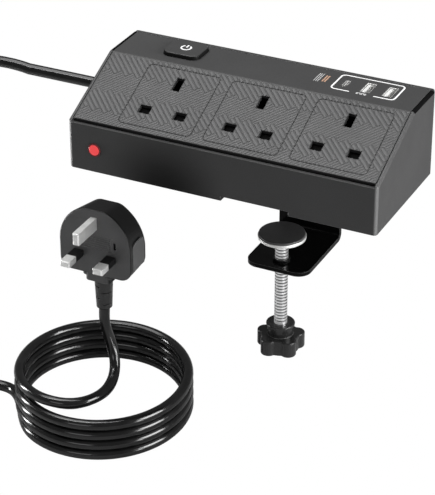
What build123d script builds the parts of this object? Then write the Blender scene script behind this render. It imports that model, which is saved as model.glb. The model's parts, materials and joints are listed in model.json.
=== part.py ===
from build123d import *
import os
from math import atan2, cos, degrees, hypot, pi, radians, sin, sqrt

os.makedirs("parts", exist_ok=True)

# The object is a desk power strip: a wedge-shaped housing with three British sockets on its sloping
# face, a clamp below it, and a coiled mains cord with its plug. Millimetres, +Z up. The origin is the
# centre of the housing's underside; the front wall faces -Y.

# ---- driving dimensions ----
housing_width = 191.0
housing_depth = 84.0
housing_height = 53.0
front_height = 30.0
strip_depth = 33.0
wall = 2.0
floor_thickness = 2.5
cover_thickness = 2.5
shoulder_bevel = 1.1
cover_seam = 0.5
lip_drop = 0.7
corner_radius = 2.5
running_gap = 0.1

socket_pitch = 53.2
socket_middle_x = 9.5
pin_row_s = 18.9
pin_half_spacing = 11.1
earth_above_row = 22.2
line_slot_width = 7.4
line_slot_height = 6.0
earth_slot_width = 5.0
earth_slot_height = 9.8
outline_size = 46.2
outline_middle_s = 29.25
outline_groove = 0.4
shutter_travel = 7.4

button_x = -54.0
button_y = 26.5
button_width = 23.0
button_depth = 20.0
button_radius = 5.0
button_height = 2.5
button_travel = 2.2

usb_y = 27.4
usb_c_x = 46.8
usb_a_left_x = 60.4
usb_a_right_x = 73.6

reset_x = -78.7
reset_z = 14.4
reset_radius = 3.4
bezel_radius = 4.0

cord_radius = 3.45
cord_y = 24.0
cord_z = 21.8

bracket_thickness = 2.5
bracket_width = 39.5
bracket_x = 22.0
channel_width = 41.5
channel_height = 3.0
plate_top_z = -53.0
plate_front_y = -13.0
bracket_rear_y = 40.0
screw_y = -2.5
screw_radius = 3.9
thread_pitch = 2.0
pad_radius = 14.2
pad_top_z = -34.6
knob_top_z = -95.0
hub_height = 7.6
star_height = 9.8

plug_x = -96.0
plug_face_y = -15.1
plug_row_z = -73.1
plug_depth = 22.0
neck_depth = 17.0
boot_y = -4.0

# ---- worked-out dimensions ----
front_y = -housing_depth / 2
rear_y = housing_depth / 2
crest_y = rear_y - strip_depth
end_x = housing_width / 2
slope_run = housing_depth - strip_depth
slope_rise = housing_height - front_height
slope_angle = atan2(slope_rise, slope_run)
slope_length = hypot(slope_run, slope_rise)
cover_end_x = end_x - wall - cover_seam
socket_xs = [socket_middle_x + k * socket_pitch for k in (-1, 0, 1)]
earth_s = pin_row_s + earth_above_row
plate_bottom_z = plate_top_z - bracket_thickness
inner_front_y = front_y + wall
inner_rear_y = rear_y - wall


def slope_plane(depth=0.0):
    """The sloping face's plane: x along the housing, y up the slope, z out of the face."""
    outward = (0, -sin(slope_angle), cos(slope_angle))
    face = Plane(origin=(0, front_y, front_height), x_dir=(1, 0, 0), z_dir=outward)
    return face.offset(-depth)


def end_plane(x):
    """A plane across the housing: its x is the row's Y and its y is the row's Z."""
    return Plane.YZ.offset(x)


def front_plane(y):
    """A plane facing the front: its x is the row's X and its y is the row's Z."""
    return Plane(origin=(0, y, 0), x_dir=(1, 0, 0), z_dir=(0, -1, 0))


def save(piece, node):
    piece.part.label = node
    export_step(piece.part, f"parts/{node}.step")


# ---- casing tray: base, four walls, channel for the clamp, screw posts ----
post_spots = [(-88.0, -33.0), (-17.1, -33.0), (88.0, -33.0), (-88.0, 33.5), (-17.1, 33.5), (88.0, 33.5)]
board_post_spots = [(36.0, 33.0), (80.5, 19.0)]
post_radius = 3.2
screw_pilot = 1.3
board_z = 34.0
bracket_screw_spots = [(bracket_x - 13.0, -24.0), (bracket_x + 13.0, -24.0), (bracket_x - 13.0, 24.0),
                       (bracket_x + 13.0, 24.0)]
bracket_screw_radius = 1.95
grip_x = -80.5
grip_screw_spots = [(grip_x, cord_y - 6.5), (grip_x, cord_y + 5.0)]
foot_spots = [(x, y) for x in (-70.0, 70.0) for y in (-27.0, 27.0)]
foot_length = 24.0
foot_width = 10.0
foot_thickness = 0.8
boss_radius = 4.5
boss_top_z = 11.0
channel_ceiling = channel_height + floor_thickness


def cover_underside_z(y):
    """Height of the cover's underside at a place along Y."""
    drop = cover_thickness / cos(slope_angle)
    on_slope = front_height + (y - front_y) * slope_rise / slope_run - drop
    return min(on_slope, housing_height - cover_thickness)


with BuildPart() as casing_tray:
    with BuildSketch(end_plane(-end_x)):
        with BuildLine():
            Polyline(
                (front_y, 0),
                (rear_y, 0),
                (rear_y, housing_height),
                (crest_y, housing_height),
                (front_y, front_height),
                close=True,
            )
        make_face()
    extrude(amount=housing_width)
    fillet(casing_tray.edges().filter_by(Axis.Z), radius=corner_radius)
    # open box inside the walls, through the top
    with BuildSketch(Plane.XY.offset(floor_thickness)):
        with Locations((0, (inner_front_y + inner_rear_y) / 2)):
            RectangleRounded(housing_width - 2 * wall, inner_rear_y - inner_front_y, 1.0)
    extrude(amount=housing_height, mode=Mode.SUBTRACT)
    # the front wall stops a little under the slope, which leaves the dark groove below the cover
    lip_z = front_height - lip_drop
    with BuildSketch(Plane.XY.offset(lip_z)):
        with Locations((0, front_y)):
            Rectangle(housing_width - 2 * wall, 2 * wall + 0.02)
    extrude(amount=wall, mode=Mode.SUBTRACT)
    # raised floor over the clamp channel
    with BuildSketch(Plane.XY.offset(floor_thickness)):
        with Locations((bracket_x, 0)):
            Rectangle(channel_width + 2 * wall, inner_rear_y - inner_front_y)
    extrude(amount=channel_height)
    with BuildSketch(Plane.XY.offset(channel_ceiling)):
        with Locations(*bracket_screw_spots):
            Circle(boss_radius)
    extrude(amount=boss_top_z - channel_ceiling)
    # posts under the USB board
    with BuildSketch(Plane.XY.offset(floor_thickness)):
        with Locations(*board_post_spots):
            Circle(post_radius)
    extrude(amount=board_z - floor_thickness)
    # the channel itself, open at the front with a sloped left shoulder
    with BuildSketch(Plane.XY):
        with Locations((bracket_x, (front_y + bracket_rear_y + running_gap) / 2)):
            Rectangle(channel_width, bracket_rear_y + running_gap - front_y)
    extrude(amount=channel_height, mode=Mode.SUBTRACT)
    with BuildSketch(Plane.XY):
        with Locations(*bracket_screw_spots):
            Circle(bracket_screw_radius + 0.05)
    extrude(amount=boss_top_z - wall, mode=Mode.SUBTRACT)
    # pilot holes in the posts under the USB board
    with BuildSketch(Plane.XY.offset(board_z - 10.0)):
        with Locations(*board_post_spots):
            Circle(screw_pilot)
    extrude(amount=10.0, mode=Mode.SUBTRACT)
    # pedestal under the switch, and the saddle under the cord
    with BuildSketch(Plane.XY.offset(floor_thickness)):
        with Locations((button_x, button_y)):
            Rectangle(16.0, 12.0)
    extrude(amount=18.0 - floor_thickness)
    with BuildSketch(Plane.XY.offset(floor_thickness)):
        with Locations((grip_x, cord_y - 2.0)):
            Rectangle(7.0, 18.0)
    extrude(amount=cord_z - floor_thickness)
    with BuildSketch(end_plane(grip_x - 4.0)):
        with Locations((cord_y, cord_z)):
            Circle(cord_radius + 0.05)
    extrude(amount=8.0, mode=Mode.SUBTRACT)
    with BuildSketch(Plane.XY.offset(cord_z - 8.0)):
        with Locations(*grip_screw_spots):
            Circle(0.9)
    extrude(amount=8.1, mode=Mode.SUBTRACT)
    # recesses for the foot pads
    with BuildSketch(Plane.XY):
        with Locations(*foot_spots):
            RectangleRounded(foot_length, foot_width, 2.0)
    extrude(amount=foot_thickness, mode=Mode.SUBTRACT)
    # countersunk holes for the cover's screws, from below
    with Locations(*[Location((x, y, 0), (180, 0, 0)) for x, y in post_spots]):
        CounterSinkHole(radius=1.6, counter_sink_radius=3.0, depth=floor_thickness)
    # cord hole in the left end wall, round hole for the reset button in the front wall
    with BuildSketch(end_plane(-end_x - 1.0)):
        with Locations((cord_y, cord_z)):
            Circle(5.1)
    extrude(amount=wall + 2.0, mode=Mode.SUBTRACT)
    with BuildSketch(front_plane(front_y - 1.0)):
        with Locations((reset_x, reset_z)):
            Circle(bezel_radius + 0.05)
    extrude(amount=-(wall + 1.5), mode=Mode.SUBTRACT)
    # bevelled shoulders of the end walls, along the slope and along the strip
    along_slope = Plane(
        origin=(0, front_y, front_height), x_dir=(1, 0, 0), z_dir=(0, cos(slope_angle), sin(slope_angle))
    )
    along_strip = Plane(origin=(0, crest_y, housing_height), x_dir=(1, 0, 0), z_dir=(0, 1, 0))
    for run, run_length in ((along_slope, slope_length), (along_strip, strip_depth)):
        for side in (-1, 1):
            with BuildSketch(run):
                with BuildLine():
                    Polyline(
                        (side * (end_x + shoulder_bevel), -shoulder_bevel),
                        (side * (end_x - 2 * shoulder_bevel), -shoulder_bevel),
                        (side * (end_x + shoulder_bevel), 2 * shoulder_bevel),
                        close=True,
                    )
                make_face()
            extrude(amount=run_length, mode=Mode.SUBTRACT)
    # soft outer edges
    bottom_edges = casing_tray.edges().filter_by(Axis.X).group_by(Axis.Z)[0]
    outer_bottom = [e for e in bottom_edges if abs(abs(e.center().Y) - housing_depth / 2) < 0.01]
    fillet(outer_bottom, radius=0.8)
save(casing_tray, "casing_tray")

# ---- top cover: sloping socket face and the flat strip, one moulding ----
cover_front_s = wall / cos(slope_angle) + cover_seam
groove_depth = 0.35


with BuildPart() as top_cover:
    with BuildSketch(end_plane(-cover_end_x)):
        with BuildLine():
            run = cos(slope_angle)
            rise = sin(slope_angle)
            under = cover_thickness
            bend_back = under * (1 - cos(slope_angle)) / sin(slope_angle)
            Polyline(
                (front_y + cover_front_s * run, front_height + cover_front_s * rise),
                (crest_y, housing_height),
                (inner_rear_y - cover_seam, housing_height),
                (inner_rear_y - cover_seam, housing_height - under),
                (crest_y + bend_back, housing_height - under),
                (front_y + cover_front_s * run + under * rise, front_height + cover_front_s * rise - under * run),
                close=True,
            )
        make_face()
    extrude(amount=2 * cover_end_x)
    crest = top_cover.edges().filter_by(Axis.X).group_by(Axis.Z)[-1].sort_by(Axis.Y)[0]
    fillet(crest, radius=1.2)
    # screw posts reach down to the tray's floor
    for x, y in post_spots:
        with BuildSketch(Plane.XY.offset(floor_thickness)):
            with Locations((x, y)):
                Circle(post_radius)
        extrude(amount=cover_underside_z(y - post_radius) + 0.8 - floor_thickness)
    with BuildSketch(Plane.XY.offset(floor_thickness)):
        with Locations(*post_spots):
            Circle(screw_pilot)
    extrude(amount=14.0, mode=Mode.SUBTRACT)
    # pin slots
    for x in socket_xs:
        with BuildSketch(slope_plane()):
            with Locations((x - pin_half_spacing, pin_row_s), (x + pin_half_spacing, pin_row_s)):
                Rectangle(line_slot_width, line_slot_height)
            with Locations((x, earth_s)):
                Rectangle(earth_slot_width, earth_slot_height)
        extrude(amount=-cover_thickness - 0.5, mode=Mode.SUBTRACT)
        with BuildSketch(slope_plane()):
            with Locations((x, outline_middle_s)):
                RectangleRounded(outline_size, outline_size, 3.0)
                inner_size = outline_size - 2 * outline_groove
                RectangleRounded(inner_size, inner_size, 3.0 - outline_groove, mode=Mode.SUBTRACT)
        extrude(amount=-groove_depth, mode=Mode.SUBTRACT)
        with BuildSketch(slope_plane(cover_thickness)):
            with Locations((x - 19.5, 36.0), (x + 19.5, 36.0)):
                Circle(0.9)
        extrude(amount=1.6, mode=Mode.SUBTRACT)
    # openings in the flat strip
    with BuildSketch(Plane.XY.offset(housing_height)):
        with Locations((button_x, button_y)):
            RectangleRounded(button_width + 0.5, button_depth + 0.5, button_radius + 0.25)
        with Locations((usb_c_x, usb_y)):
            SlotOverall(9.3, 3.5, rotation=90)
        with Locations((usb_a_left_x, usb_y), (usb_a_right_x, usb_y)):
            Rectangle(6.1, 13.5)
    extrude(amount=-cover_thickness - 0.5, mode=Mode.SUBTRACT)
save(top_cover, "top_cover")

# ---- socket carriers, shutters and their springs, one of each behind every socket ----
carrier_top = 5.0
carrier_bottom = 20.0
carrier_width = 44.0
carrier_low_s = 5.5
carrier_high_s = 50.5
carrier_middle_s = (carrier_low_s + carrier_high_s) / 2
shutter_top = cover_thickness + 0.2
shutter_bottom = carrier_top - 0.2
ramp_top_s = earth_s - 4.0
spring_s_low = 8.6
spring_s_high = 12.6
tab_depth = 8.4


for number, x in enumerate(socket_xs, start=1):
    with BuildPart() as socket_carrier:
        with BuildSketch(slope_plane(carrier_bottom)):
            with Locations((x, carrier_middle_s)):
                Rectangle(carrier_width, carrier_high_s - carrier_low_s)
        extrude(amount=carrier_bottom - carrier_top)
        # side rails stand up to the cover
        with BuildSketch(slope_plane(carrier_top)):
            with Locations((x - 19.5, carrier_middle_s), (x + 19.5, carrier_middle_s)):
                Rectangle(5.0, carrier_high_s - carrier_low_s)
        extrude(amount=carrier_top - cover_thickness)
        # pockets for the live and neutral contacts, the earth cavity with room for the ramp
        with BuildSketch(slope_plane(carrier_bottom)):
            with Locations((x - pin_half_spacing, pin_row_s), (x + pin_half_spacing, pin_row_s)):
                Rectangle(8.4, 8.6)
            with Locations((x, 37.6)):
                Rectangle(6.8, 17.6)
        extrude(amount=carrier_bottom - carrier_top, mode=Mode.SUBTRACT)
        # pocket for the shutter's tab and spring
        with BuildSketch(slope_plane(carrier_top)):
            with Locations((x, 15.0)):
                Rectangle(5.0, 13.0)
        extrude(amount=-5.0, mode=Mode.SUBTRACT)
        with BuildSketch(slope_plane(carrier_bottom)):
            with Locations((x - 19.5, 36.0), (x + 19.5, 36.0)):
                Circle(0.9)
        extrude(amount=carrier_bottom, mode=Mode.SUBTRACT)
    save(socket_carrier, f"socket_carrier_{number}")

    with BuildPart() as shutter:
        blade_low_s = pin_row_s - 3.6
        blade_high_s = pin_row_s + 3.6
        with BuildSketch(slope_plane(shutter_bottom)):
            with Locations((x, pin_row_s)):
                Rectangle(31.0, blade_high_s - blade_low_s)
            with Locations((x, (blade_high_s + ramp_top_s + 1.0) / 2)):
                Rectangle(4.4, ramp_top_s + 1.0 - blade_high_s)
        extrude(amount=shutter_bottom - shutter_top)
        # ramp that the long earth pin pushes on
        with BuildSketch(Plane(origin=(x - 2.2, 0, 0), x_dir=(0, 1, 0), z_dir=(1, 0, 0))):
            with BuildLine():
                corners = [(ramp_top_s, -shutter_top), (ramp_top_s + 8.0, -shutter_top - 8.0),
                           (ramp_top_s, -shutter_top - 8.0)]
                Polyline(
                    *[(front_y + s * cos(slope_angle) - w * sin(slope_angle),
                       front_height + s * sin(slope_angle) + w * cos(slope_angle)) for s, w in corners],
                    close=True,
                )
            make_face()
        extrude(amount=4.4)
        # tab that bears on the spring
        with BuildSketch(slope_plane(tab_depth)):
            with Locations((x, pin_row_s + 1.4)):
                Rectangle(4.0, 2.0)
        extrude(amount=tab_depth - shutter_bottom)
    save(shutter, f"shutter_{number}")

    with BuildPart() as shutter_spring:
        spring_start = slope_plane(7.2).from_local_coords((x, spring_s_low, 0))
        spring_length = pin_row_s + 0.35 - spring_s_low
        up_slope = (0, cos(slope_angle), sin(slope_angle))
        with BuildLine() as spring_line:
            Helix(pitch=1.6, height=spring_length - 0.6, radius=1.3, center=spring_start, direction=up_slope)
        with BuildSketch(Plane(origin=spring_line.line @ 0, z_dir=spring_line.line % 0)):
            Circle(0.2)
        sweep()
    save(shutter_spring, f"shutter_spring_{number}")

# ---- bus bars with their contacts ----
bar_top = carrier_bottom
bar_thickness = 0.8
leaf = 0.5
bar_length = 2 * socket_pitch + 24.0


def line_bus(strip_s, side):
    """A strip across the three sockets with a pair of contact leaves at each, on one side."""
    with BuildPart() as bus:
        with BuildSketch(slope_plane(bar_top + bar_thickness)):
            with Locations((socket_middle_x, strip_s)):
                Rectangle(bar_length, 4.0)
            for x in socket_xs:
                with Locations((x + side * pin_half_spacing, (strip_s + pin_row_s) / 2)):
                    Rectangle(5.0, abs(strip_s - pin_row_s) + 6.0)
        extrude(amount=bar_thickness)
        for x in socket_xs:
            with BuildSketch(slope_plane(bar_top + 0.1)):
                across = (x + side * pin_half_spacing, pin_row_s - 2.3), (x + side * pin_half_spacing, pin_row_s + 2.3)
                with Locations(*across):
                    Rectangle(5.0, leaf)
            extrude(amount=12.0)
    return bus


save(line_bus(13.0, 1), "live_busbar")
save(line_bus(26.0, -1), "neutral_busbar")

with BuildPart() as earth_busbar:
    with BuildSketch(slope_plane(bar_top + bar_thickness)):
        with Locations((socket_middle_x, 47.5)):
            Rectangle(bar_length, 4.0)
        for x in socket_xs:
            with Locations((x, 44.0)):
                Rectangle(6.0, 7.0)
    extrude(amount=bar_thickness)
    for x in socket_xs:
        with BuildSketch(slope_plane(bar_top + 0.1)):
            with Locations((x - 2.4, 43.0), (x + 2.4, 43.0)):
                Rectangle(leaf, 5.0)
        extrude(amount=8.0)
save(earth_busbar, "earth_busbar")

with BuildPart() as carrier_screws:
    for x in socket_xs:
        with BuildSketch(slope_plane(carrier_bottom)):
            with Locations((x - 19.5, 36.0), (x + 19.5, 36.0)):
                Circle(0.85)
        extrude(amount=carrier_bottom - cover_thickness + 1.4)
        with BuildSketch(slope_plane(carrier_bottom)):
            with Locations((x - 19.5, 36.0), (x + 19.5, 36.0)):
                Circle(1.7)
        extrude(amount=-1.2)
save(carrier_screws, "carrier_screws")

# ---- power button, its spring and the switch ----
cap_top_z = housing_height + button_height
skirt_bottom_z = 45.5
flange_top_z = housing_height - cover_thickness - running_gap
switch_top_z = 38.0

with BuildPart() as power_button:
    with BuildSketch(Plane.XY.offset(skirt_bottom_z)):
        with Locations((button_x, button_y)):
            RectangleRounded(button_width, button_depth, button_radius)
    extrude(amount=cap_top_z - skirt_bottom_z)
    fillet(power_button.faces().sort_by(Axis.Z)[-1].edges(), radius=0.8)
    with BuildSketch(Plane.XY.offset(skirt_bottom_z)):
        with Locations((button_x, button_y)):
            RectangleRounded(button_width + 2.4, button_depth + 2.4, button_radius + 1.2)
    extrude(amount=flange_top_z - skirt_bottom_z)
    with BuildSketch(Plane.XY.offset(skirt_bottom_z)):
        with Locations((button_x, button_y)):
            RectangleRounded(button_width - 4.0, button_depth - 4.0, button_radius - 2.0)
    extrude(amount=cap_top_z - 2.0 - skirt_bottom_z, mode=Mode.SUBTRACT)
    with BuildSketch(Plane.XY.offset(switch_top_z - 4.0)):
        with Locations((button_x, button_y)):
            Circle(2.0)
    extrude(amount=cap_top_z - 2.0 - switch_top_z + 4.0)
save(power_button, "power_button")

with BuildPart() as switch_body:
    with BuildSketch(Plane.XY.offset(18.0)):
        with Locations((button_x, button_y)):
            RectangleRounded(14.0, 11.5, 0.8)
    extrude(amount=switch_top_z - 18.0)
    with BuildSketch(Plane.XY.offset(switch_top_z)):
        with Locations((button_x, button_y)):
            Circle(2.1)
    extrude(amount=-8.0, mode=Mode.SUBTRACT)
    with BuildSketch(front_plane(button_y - 5.75)):
        with Locations((button_x - 4.0, 23.0), (button_x + 4.0, 23.0)):
            Rectangle(3.2, 0.8)
    extrude(amount=4.0)
save(switch_body, "switch_body")

with BuildPart() as switch_spring:
    spring_room = cap_top_z - 2.0 - switch_top_z
    with BuildLine() as switch_spring_line:
        Helix(
            pitch=3.0,
            height=spring_room - 0.8,
            radius=3.6,
            center=(button_x, button_y, switch_top_z + 0.4),
        )
    with BuildSketch(Plane(origin=switch_spring_line.line @ 0, z_dir=switch_spring_line.line % 0)):
        Circle(0.35)
    sweep()
save(switch_spring, "switch_spring")

# ---- overload breaker with its red reset button and the ring around it ----
with BuildPart() as reset_bezel:
    with BuildSketch(front_plane(front_y - 0.4)):
        with Locations((reset_x, reset_z)):
            Circle(bezel_radius)
            Circle(reset_radius + running_gap / 2, mode=Mode.SUBTRACT)
    extrude(amount=-(wall + 0.4))
save(reset_bezel, "reset_bezel")

with BuildPart() as reset_button:
    with BuildSketch(front_plane(front_y - 0.6)):
        with Locations((reset_x, reset_z)):
            Circle(reset_radius)
    extrude(amount=-8.0)
    fillet(reset_button.faces().sort_by(Axis.Y)[0].edges(), radius=0.5)
save(reset_button, "reset_button")

with BuildPart() as overload_breaker:
    with BuildSketch(front_plane(inner_front_y)):
        with Locations((reset_x, reset_z)):
            Rectangle(12.0, 15.0)
    extrude(amount=-26.0)
    with BuildSketch(front_plane(inner_front_y - 0.1)):
        with Locations((reset_x, reset_z)):
            Circle(reset_radius + running_gap / 2)
    extrude(amount=-9.0, mode=Mode.SUBTRACT)
    with BuildSketch(front_plane(inner_front_y + 26.0)):
        with Locations((reset_x, reset_z - 4.0), (reset_x, reset_z + 4.0)):
            Rectangle(6.3, 0.8)
    extrude(amount=-7.0)
save(overload_breaker, "overload_breaker")

# ---- USB board, ports and components ----
board_thickness = 1.6
port_bottom_z = board_z + board_thickness
port_top_z = housing_height - 0.3
shell = 0.3

with BuildPart() as usb_board:
    with BuildSketch(Plane.XY.offset(board_z)):
        with Locations((58.0, 26.5)):
            Rectangle(51.0, 22.0)
        with Locations(*board_post_spots):
            Circle(1.1, mode=Mode.SUBTRACT)
    extrude(amount=board_thickness)
save(usb_board, "usb_board")

with BuildPart() as usb_c_port:
    with BuildSketch(Plane.XY.offset(port_bottom_z)):
        with Locations((usb_c_x, usb_y)):
            SlotOverall(9.0, 3.2, rotation=90)
    extrude(amount=port_top_z - port_bottom_z)
    with BuildSketch(Plane.XY.offset(port_top_z)):
        with Locations((usb_c_x, usb_y)):
            SlotOverall(9.0 - 2 * shell, 3.2 - 2 * shell, rotation=90)
            Rectangle(0.7, 6.6, mode=Mode.SUBTRACT)
    extrude(amount=-7.5, mode=Mode.SUBTRACT)
save(usb_c_port, "usb_c_port")

for side, port_x in (("left", usb_a_left_x), ("right", usb_a_right_x)):
    with BuildPart() as usb_a_port:
        with BuildSketch(Plane.XY.offset(port_bottom_z)):
            with Locations((port_x, usb_y)):
                Rectangle(5.7, 13.1)
        extrude(amount=port_top_z - port_bottom_z)
        with BuildSketch(Plane.XY.offset(port_top_z)):
            with Locations((port_x, usb_y)):
                Rectangle(5.7 - 2 * shell, 13.1 - 2 * shell)
        extrude(amount=-12.0, mode=Mode.SUBTRACT)
    save(usb_a_port, f"usb_a_port_{side}")

    with BuildPart() as usb_a_tongue:
        with BuildSketch(Plane.XY.offset(port_top_z - 12.0)):
            with Locations((port_x - 1.2, usb_y)):
                Rectangle(1.9, 11.6)
        extrude(amount=11.4)
    save(usb_a_tongue, f"usb_a_tongue_{side}")

with BuildPart() as usb_transformer:
    with BuildSketch(Plane.XY.offset(board_z)):
        with Locations((58.0, 27.5)):
            RectangleRounded(14.0, 15.0, 1.0)
    extrude(amount=-14.0)
save(usb_transformer, "usb_transformer")

with BuildPart() as usb_capacitors:
    with BuildSketch(Plane.XY.offset(board_z)):
        with Locations((72.0, 31.0), (46.0, 31.0)):
            Circle(3.5)
    extrude(amount=-12.0)
save(usb_capacitors, "usb_capacitors")

with BuildPart() as board_screws:
    with BuildSketch(Plane.XY.offset(port_bottom_z)):
        with Locations(*board_post_spots):
            Circle(2.0)
    extrude(amount=1.2)
    with BuildSketch(Plane.XY.offset(port_bottom_z)):
        with Locations(*board_post_spots):
            Circle(1.05)
    extrude(amount=-(board_thickness + 6.0))
save(board_screws, "board_screws")

# ---- cord entry: strain relief, grip and inner wires ----
cord_inner_x = -75.0
grip_height = 5.5
relief_outer_x = -end_x - 17.0

with BuildPart() as cable_strain_relief:
    with BuildSketch(Plane.XY.offset(cord_z)):
        with BuildLine():
            bore = cord_radius + 0.05
            Polyline(
                (relief_outer_x, cord_y + bore),
                (relief_outer_x, cord_y + 4.5),
                (-end_x - 1.5, cord_y + 5.8),
                (-end_x - 1.5, cord_y + 6.8),
                (-end_x, cord_y + 6.8),
                (-end_x, cord_y + 5.0),
                (-end_x + wall, cord_y + 5.0),
                (-end_x + wall, cord_y + 6.6),
                (-end_x + wall + 2.0, cord_y + 6.2),
                (-end_x + wall + 2.0, cord_y + bore),
                close=True,
            )
        make_face()
    revolve(axis=Axis((0, cord_y, cord_z), (1, 0, 0)))
    # flexing slits around the sleeve
    for k in range(5):
        slit_x = relief_outer_x + 2.0 + k * 2.8
        with BuildSketch(end_plane(slit_x)):
            with Locations((cord_y, cord_z)):
                Circle(8.0)
                Circle(4.1, mode=Mode.SUBTRACT)
        extrude(amount=1.0, mode=Mode.SUBTRACT)
save(cable_strain_relief, "cable_strain_relief")

with BuildPart() as cord_grip:
    with BuildSketch(Plane.XY.offset(cord_z)):
        with Locations((grip_x, cord_y - 1.0)):
            Rectangle(6.0, 16.0)
    extrude(amount=grip_height)
    with BuildSketch(end_plane(grip_x - 4.0)):
        with Locations((cord_y, cord_z)):
            Circle(cord_radius + 0.05)
    extrude(amount=8.0, mode=Mode.SUBTRACT)
    with BuildSketch(Plane.XY.offset(cord_z)):
        with Locations(*grip_screw_spots):
            Circle(1.1)
    extrude(amount=grip_height, mode=Mode.SUBTRACT)
save(cord_grip, "cord_grip")

with BuildPart() as cord_grip_screws:
    with BuildSketch(Plane.XY.offset(cord_z - 7.0)):
        with Locations(*grip_screw_spots):
            Circle(0.85)
    extrude(amount=grip_height + 7.0)
    with BuildSketch(Plane.XY.offset(cord_z + grip_height)):
        with Locations(*grip_screw_spots):
            Circle(1.6)
    extrude(amount=1.2)
save(cord_grip_screws, "cord_grip_screws")


def tube_along(points, radius):
    """A round solid along a smooth line through the given places."""
    with BuildPart() as tube:
        with BuildLine() as run_line:
            Spline(*points)
        with BuildSketch(Plane(origin=run_line.line @ 0, z_dir=run_line.line % 0)):
            Circle(radius)
        sweep()
    return tube


def under_bar(strip_s, x):
    """A place just under a bus bar, where its wire is joined on."""
    return slope_plane(bar_top + bar_thickness + 1.2).from_local_coords((x, strip_s, 0))


wire_radius = 0.95
wire_start_x = cord_inner_x + 1.4
joint_x = socket_middle_x - bar_length / 2 + 2.0
breaker_end_y = inner_front_y + 26.0 + 7.0 + 1.2
switch_end_y = button_y - 5.75 - 4.0 - 1.2

with BuildPart() as live_wire:
    add(tube_along([(wire_start_x, cord_y - 1.5, cord_z + 0.9), (-68.0, 12.0, 21.0), (-73.0, 0.0, 19.5),
                    (reset_x, breaker_end_y, reset_z + 4.0)], wire_radius).part)
    add(tube_along([(reset_x, breaker_end_y, reset_z - 4.0), (-72.0, 2.0, 8.0), (-60.0, 10.0, 12.0),
                    (button_x - 4.0, switch_end_y, 23.0)], wire_radius).part)
    add(tube_along([(button_x + 4.0, switch_end_y, 23.0), (-49.0, 6.0, 15.0), (-52.0, -12.0, 11.0),
                    under_bar(13.0, joint_x)], wire_radius).part)
save(live_wire, "live_wire")
save(tube_along([(wire_start_x, cord_y + 1.7, cord_z + 0.9), (-67.0, 22.0, 25.0), (-64.0, 8.0, 24.0),
                 under_bar(26.0, joint_x)], wire_radius), "neutral_wire")
save(tube_along([(wire_start_x, cord_y, cord_z - 1.7), (-68.0, 18.0, 14.0), (-61.0, 12.0, 19.0),
                 under_bar(47.5, joint_x)], wire_radius), "earth_wire")

# ---- mains cord: out of the left end, round to a four-turn coil, up to the plug ----
coil_centre = Vector(-98.0, -5.0, 0.0)
coil_yaw = radians(25.9)
coil_right = Vector(cos(coil_yaw), sin(coil_yaw), 0)
coil_back = Vector(-sin(coil_yaw), cos(coil_yaw), 0)
coil_half_width = 53.0
coil_half_depth = 55.5
coil_turns = 4
coil_pitch = 7.1
coil_top_z = -160.6
coil_bottom_z = coil_top_z - coil_turns * coil_pitch
lead_bend = 28.0
boot_top_z = plug_row_z - 20.0
boot_bottom_z = boot_top_z - 22.0
boot_x = plug_x - 0.6


def coil_place(turn):
    """Centre line of the coil, counted in turns from the left-hand end of the lowest turn."""
    angle = pi + 2 * pi * turn
    flat = coil_centre + coil_right * (coil_half_width * cos(angle)) + coil_back * (coil_half_depth * sin(angle))
    return flat + Vector(0, 0, coil_bottom_z + coil_pitch * turn)


coil_start = coil_place(0)
bend_start_x = -160.0
lead_in = [
    Vector(bend_start_x, cord_y, cord_z),
    Vector(-190.0, cord_y, cord_z),
    Vector(-213.0, cord_y - 2.0, 14.0),
    Vector(-228.0, 12.0, -22.0),
    Vector(-232.0, -4.0, -90.0),
    Vector(-226.0, -24.0, -158.0),
    Vector(-208.0, -28.0, coil_bottom_z + 3.5),
    coil_start - coil_right * (lead_bend * 1.1) + coil_back * (lead_bend * 0.95),
    coil_start - coil_right * (lead_bend * 0.293) + coil_back * (lead_bend * 0.707),
]
coil_line = [coil_place(step / 12) for step in range(12 * coil_turns + 1)]
riser = [
    Vector(-127.5, -48.0, coil_top_z + 0.9),
    Vector(-109.0, -53.5, coil_top_z + 1.6),
    Vector(-93.0, -48.0, coil_top_z + 1.2),
    Vector(-84.5, -31.0, coil_top_z + 1.0),
    Vector(-86.0, -14.5, coil_top_z + 3.0),
    Vector(-89.6, -5.5, -149.5),
    Vector(-93.9, boot_y, -138.0),
    Vector(boot_x, boot_y, boot_bottom_z - 12.0),
    Vector(boot_x, boot_y, boot_bottom_z - 2.0),
    Vector(boot_x, boot_y, boot_bottom_z + 8.0),
    Vector(boot_x, boot_y, boot_top_z - 4.0),
]

with BuildPart() as mains_cable:
    with BuildLine():
        Line((cord_inner_x, cord_y, cord_z), (bend_start_x, cord_y, cord_z))
        Spline(*lead_in, *coil_line, *riser)
    with BuildSketch(Plane(origin=(cord_inner_x, cord_y, cord_z), z_dir=(-1, 0, 0))):
        Circle(cord_radius)
    sweep()
save(mains_cable, "mains_cable")

# ---- plug ----
# (half width of the flat crown, crown z), middle of the flank, foot of the flank
face_outline = ((8.0, 31.2), (19.6, 21.9), (24.3, 5.0))
back_outline = ((7.0, 27.6), (17.3, 19.4), (23.9, 3.5))
crown_bend = 8.0
face_heel_z = -13.4
back_heel_z = -13.0
face_hip_radius = 7.5
back_hip_radius = 8.5
neck_half_width = 8.5
neck_z = -20.0
grip_bottom = -7.5
grip_height = 19.0
grip_length = 15.0
fuse_z = 9.3
fuse_carrier_width = 26.0
fuse_carrier_height = 9.0
fuse_carrier_depth = 11.0
fuse_radius = 3.15
line_pin_length = 17.7
earth_pin_length = 22.73
sleeve_length = 9.0
pin_root = 8.0


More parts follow.
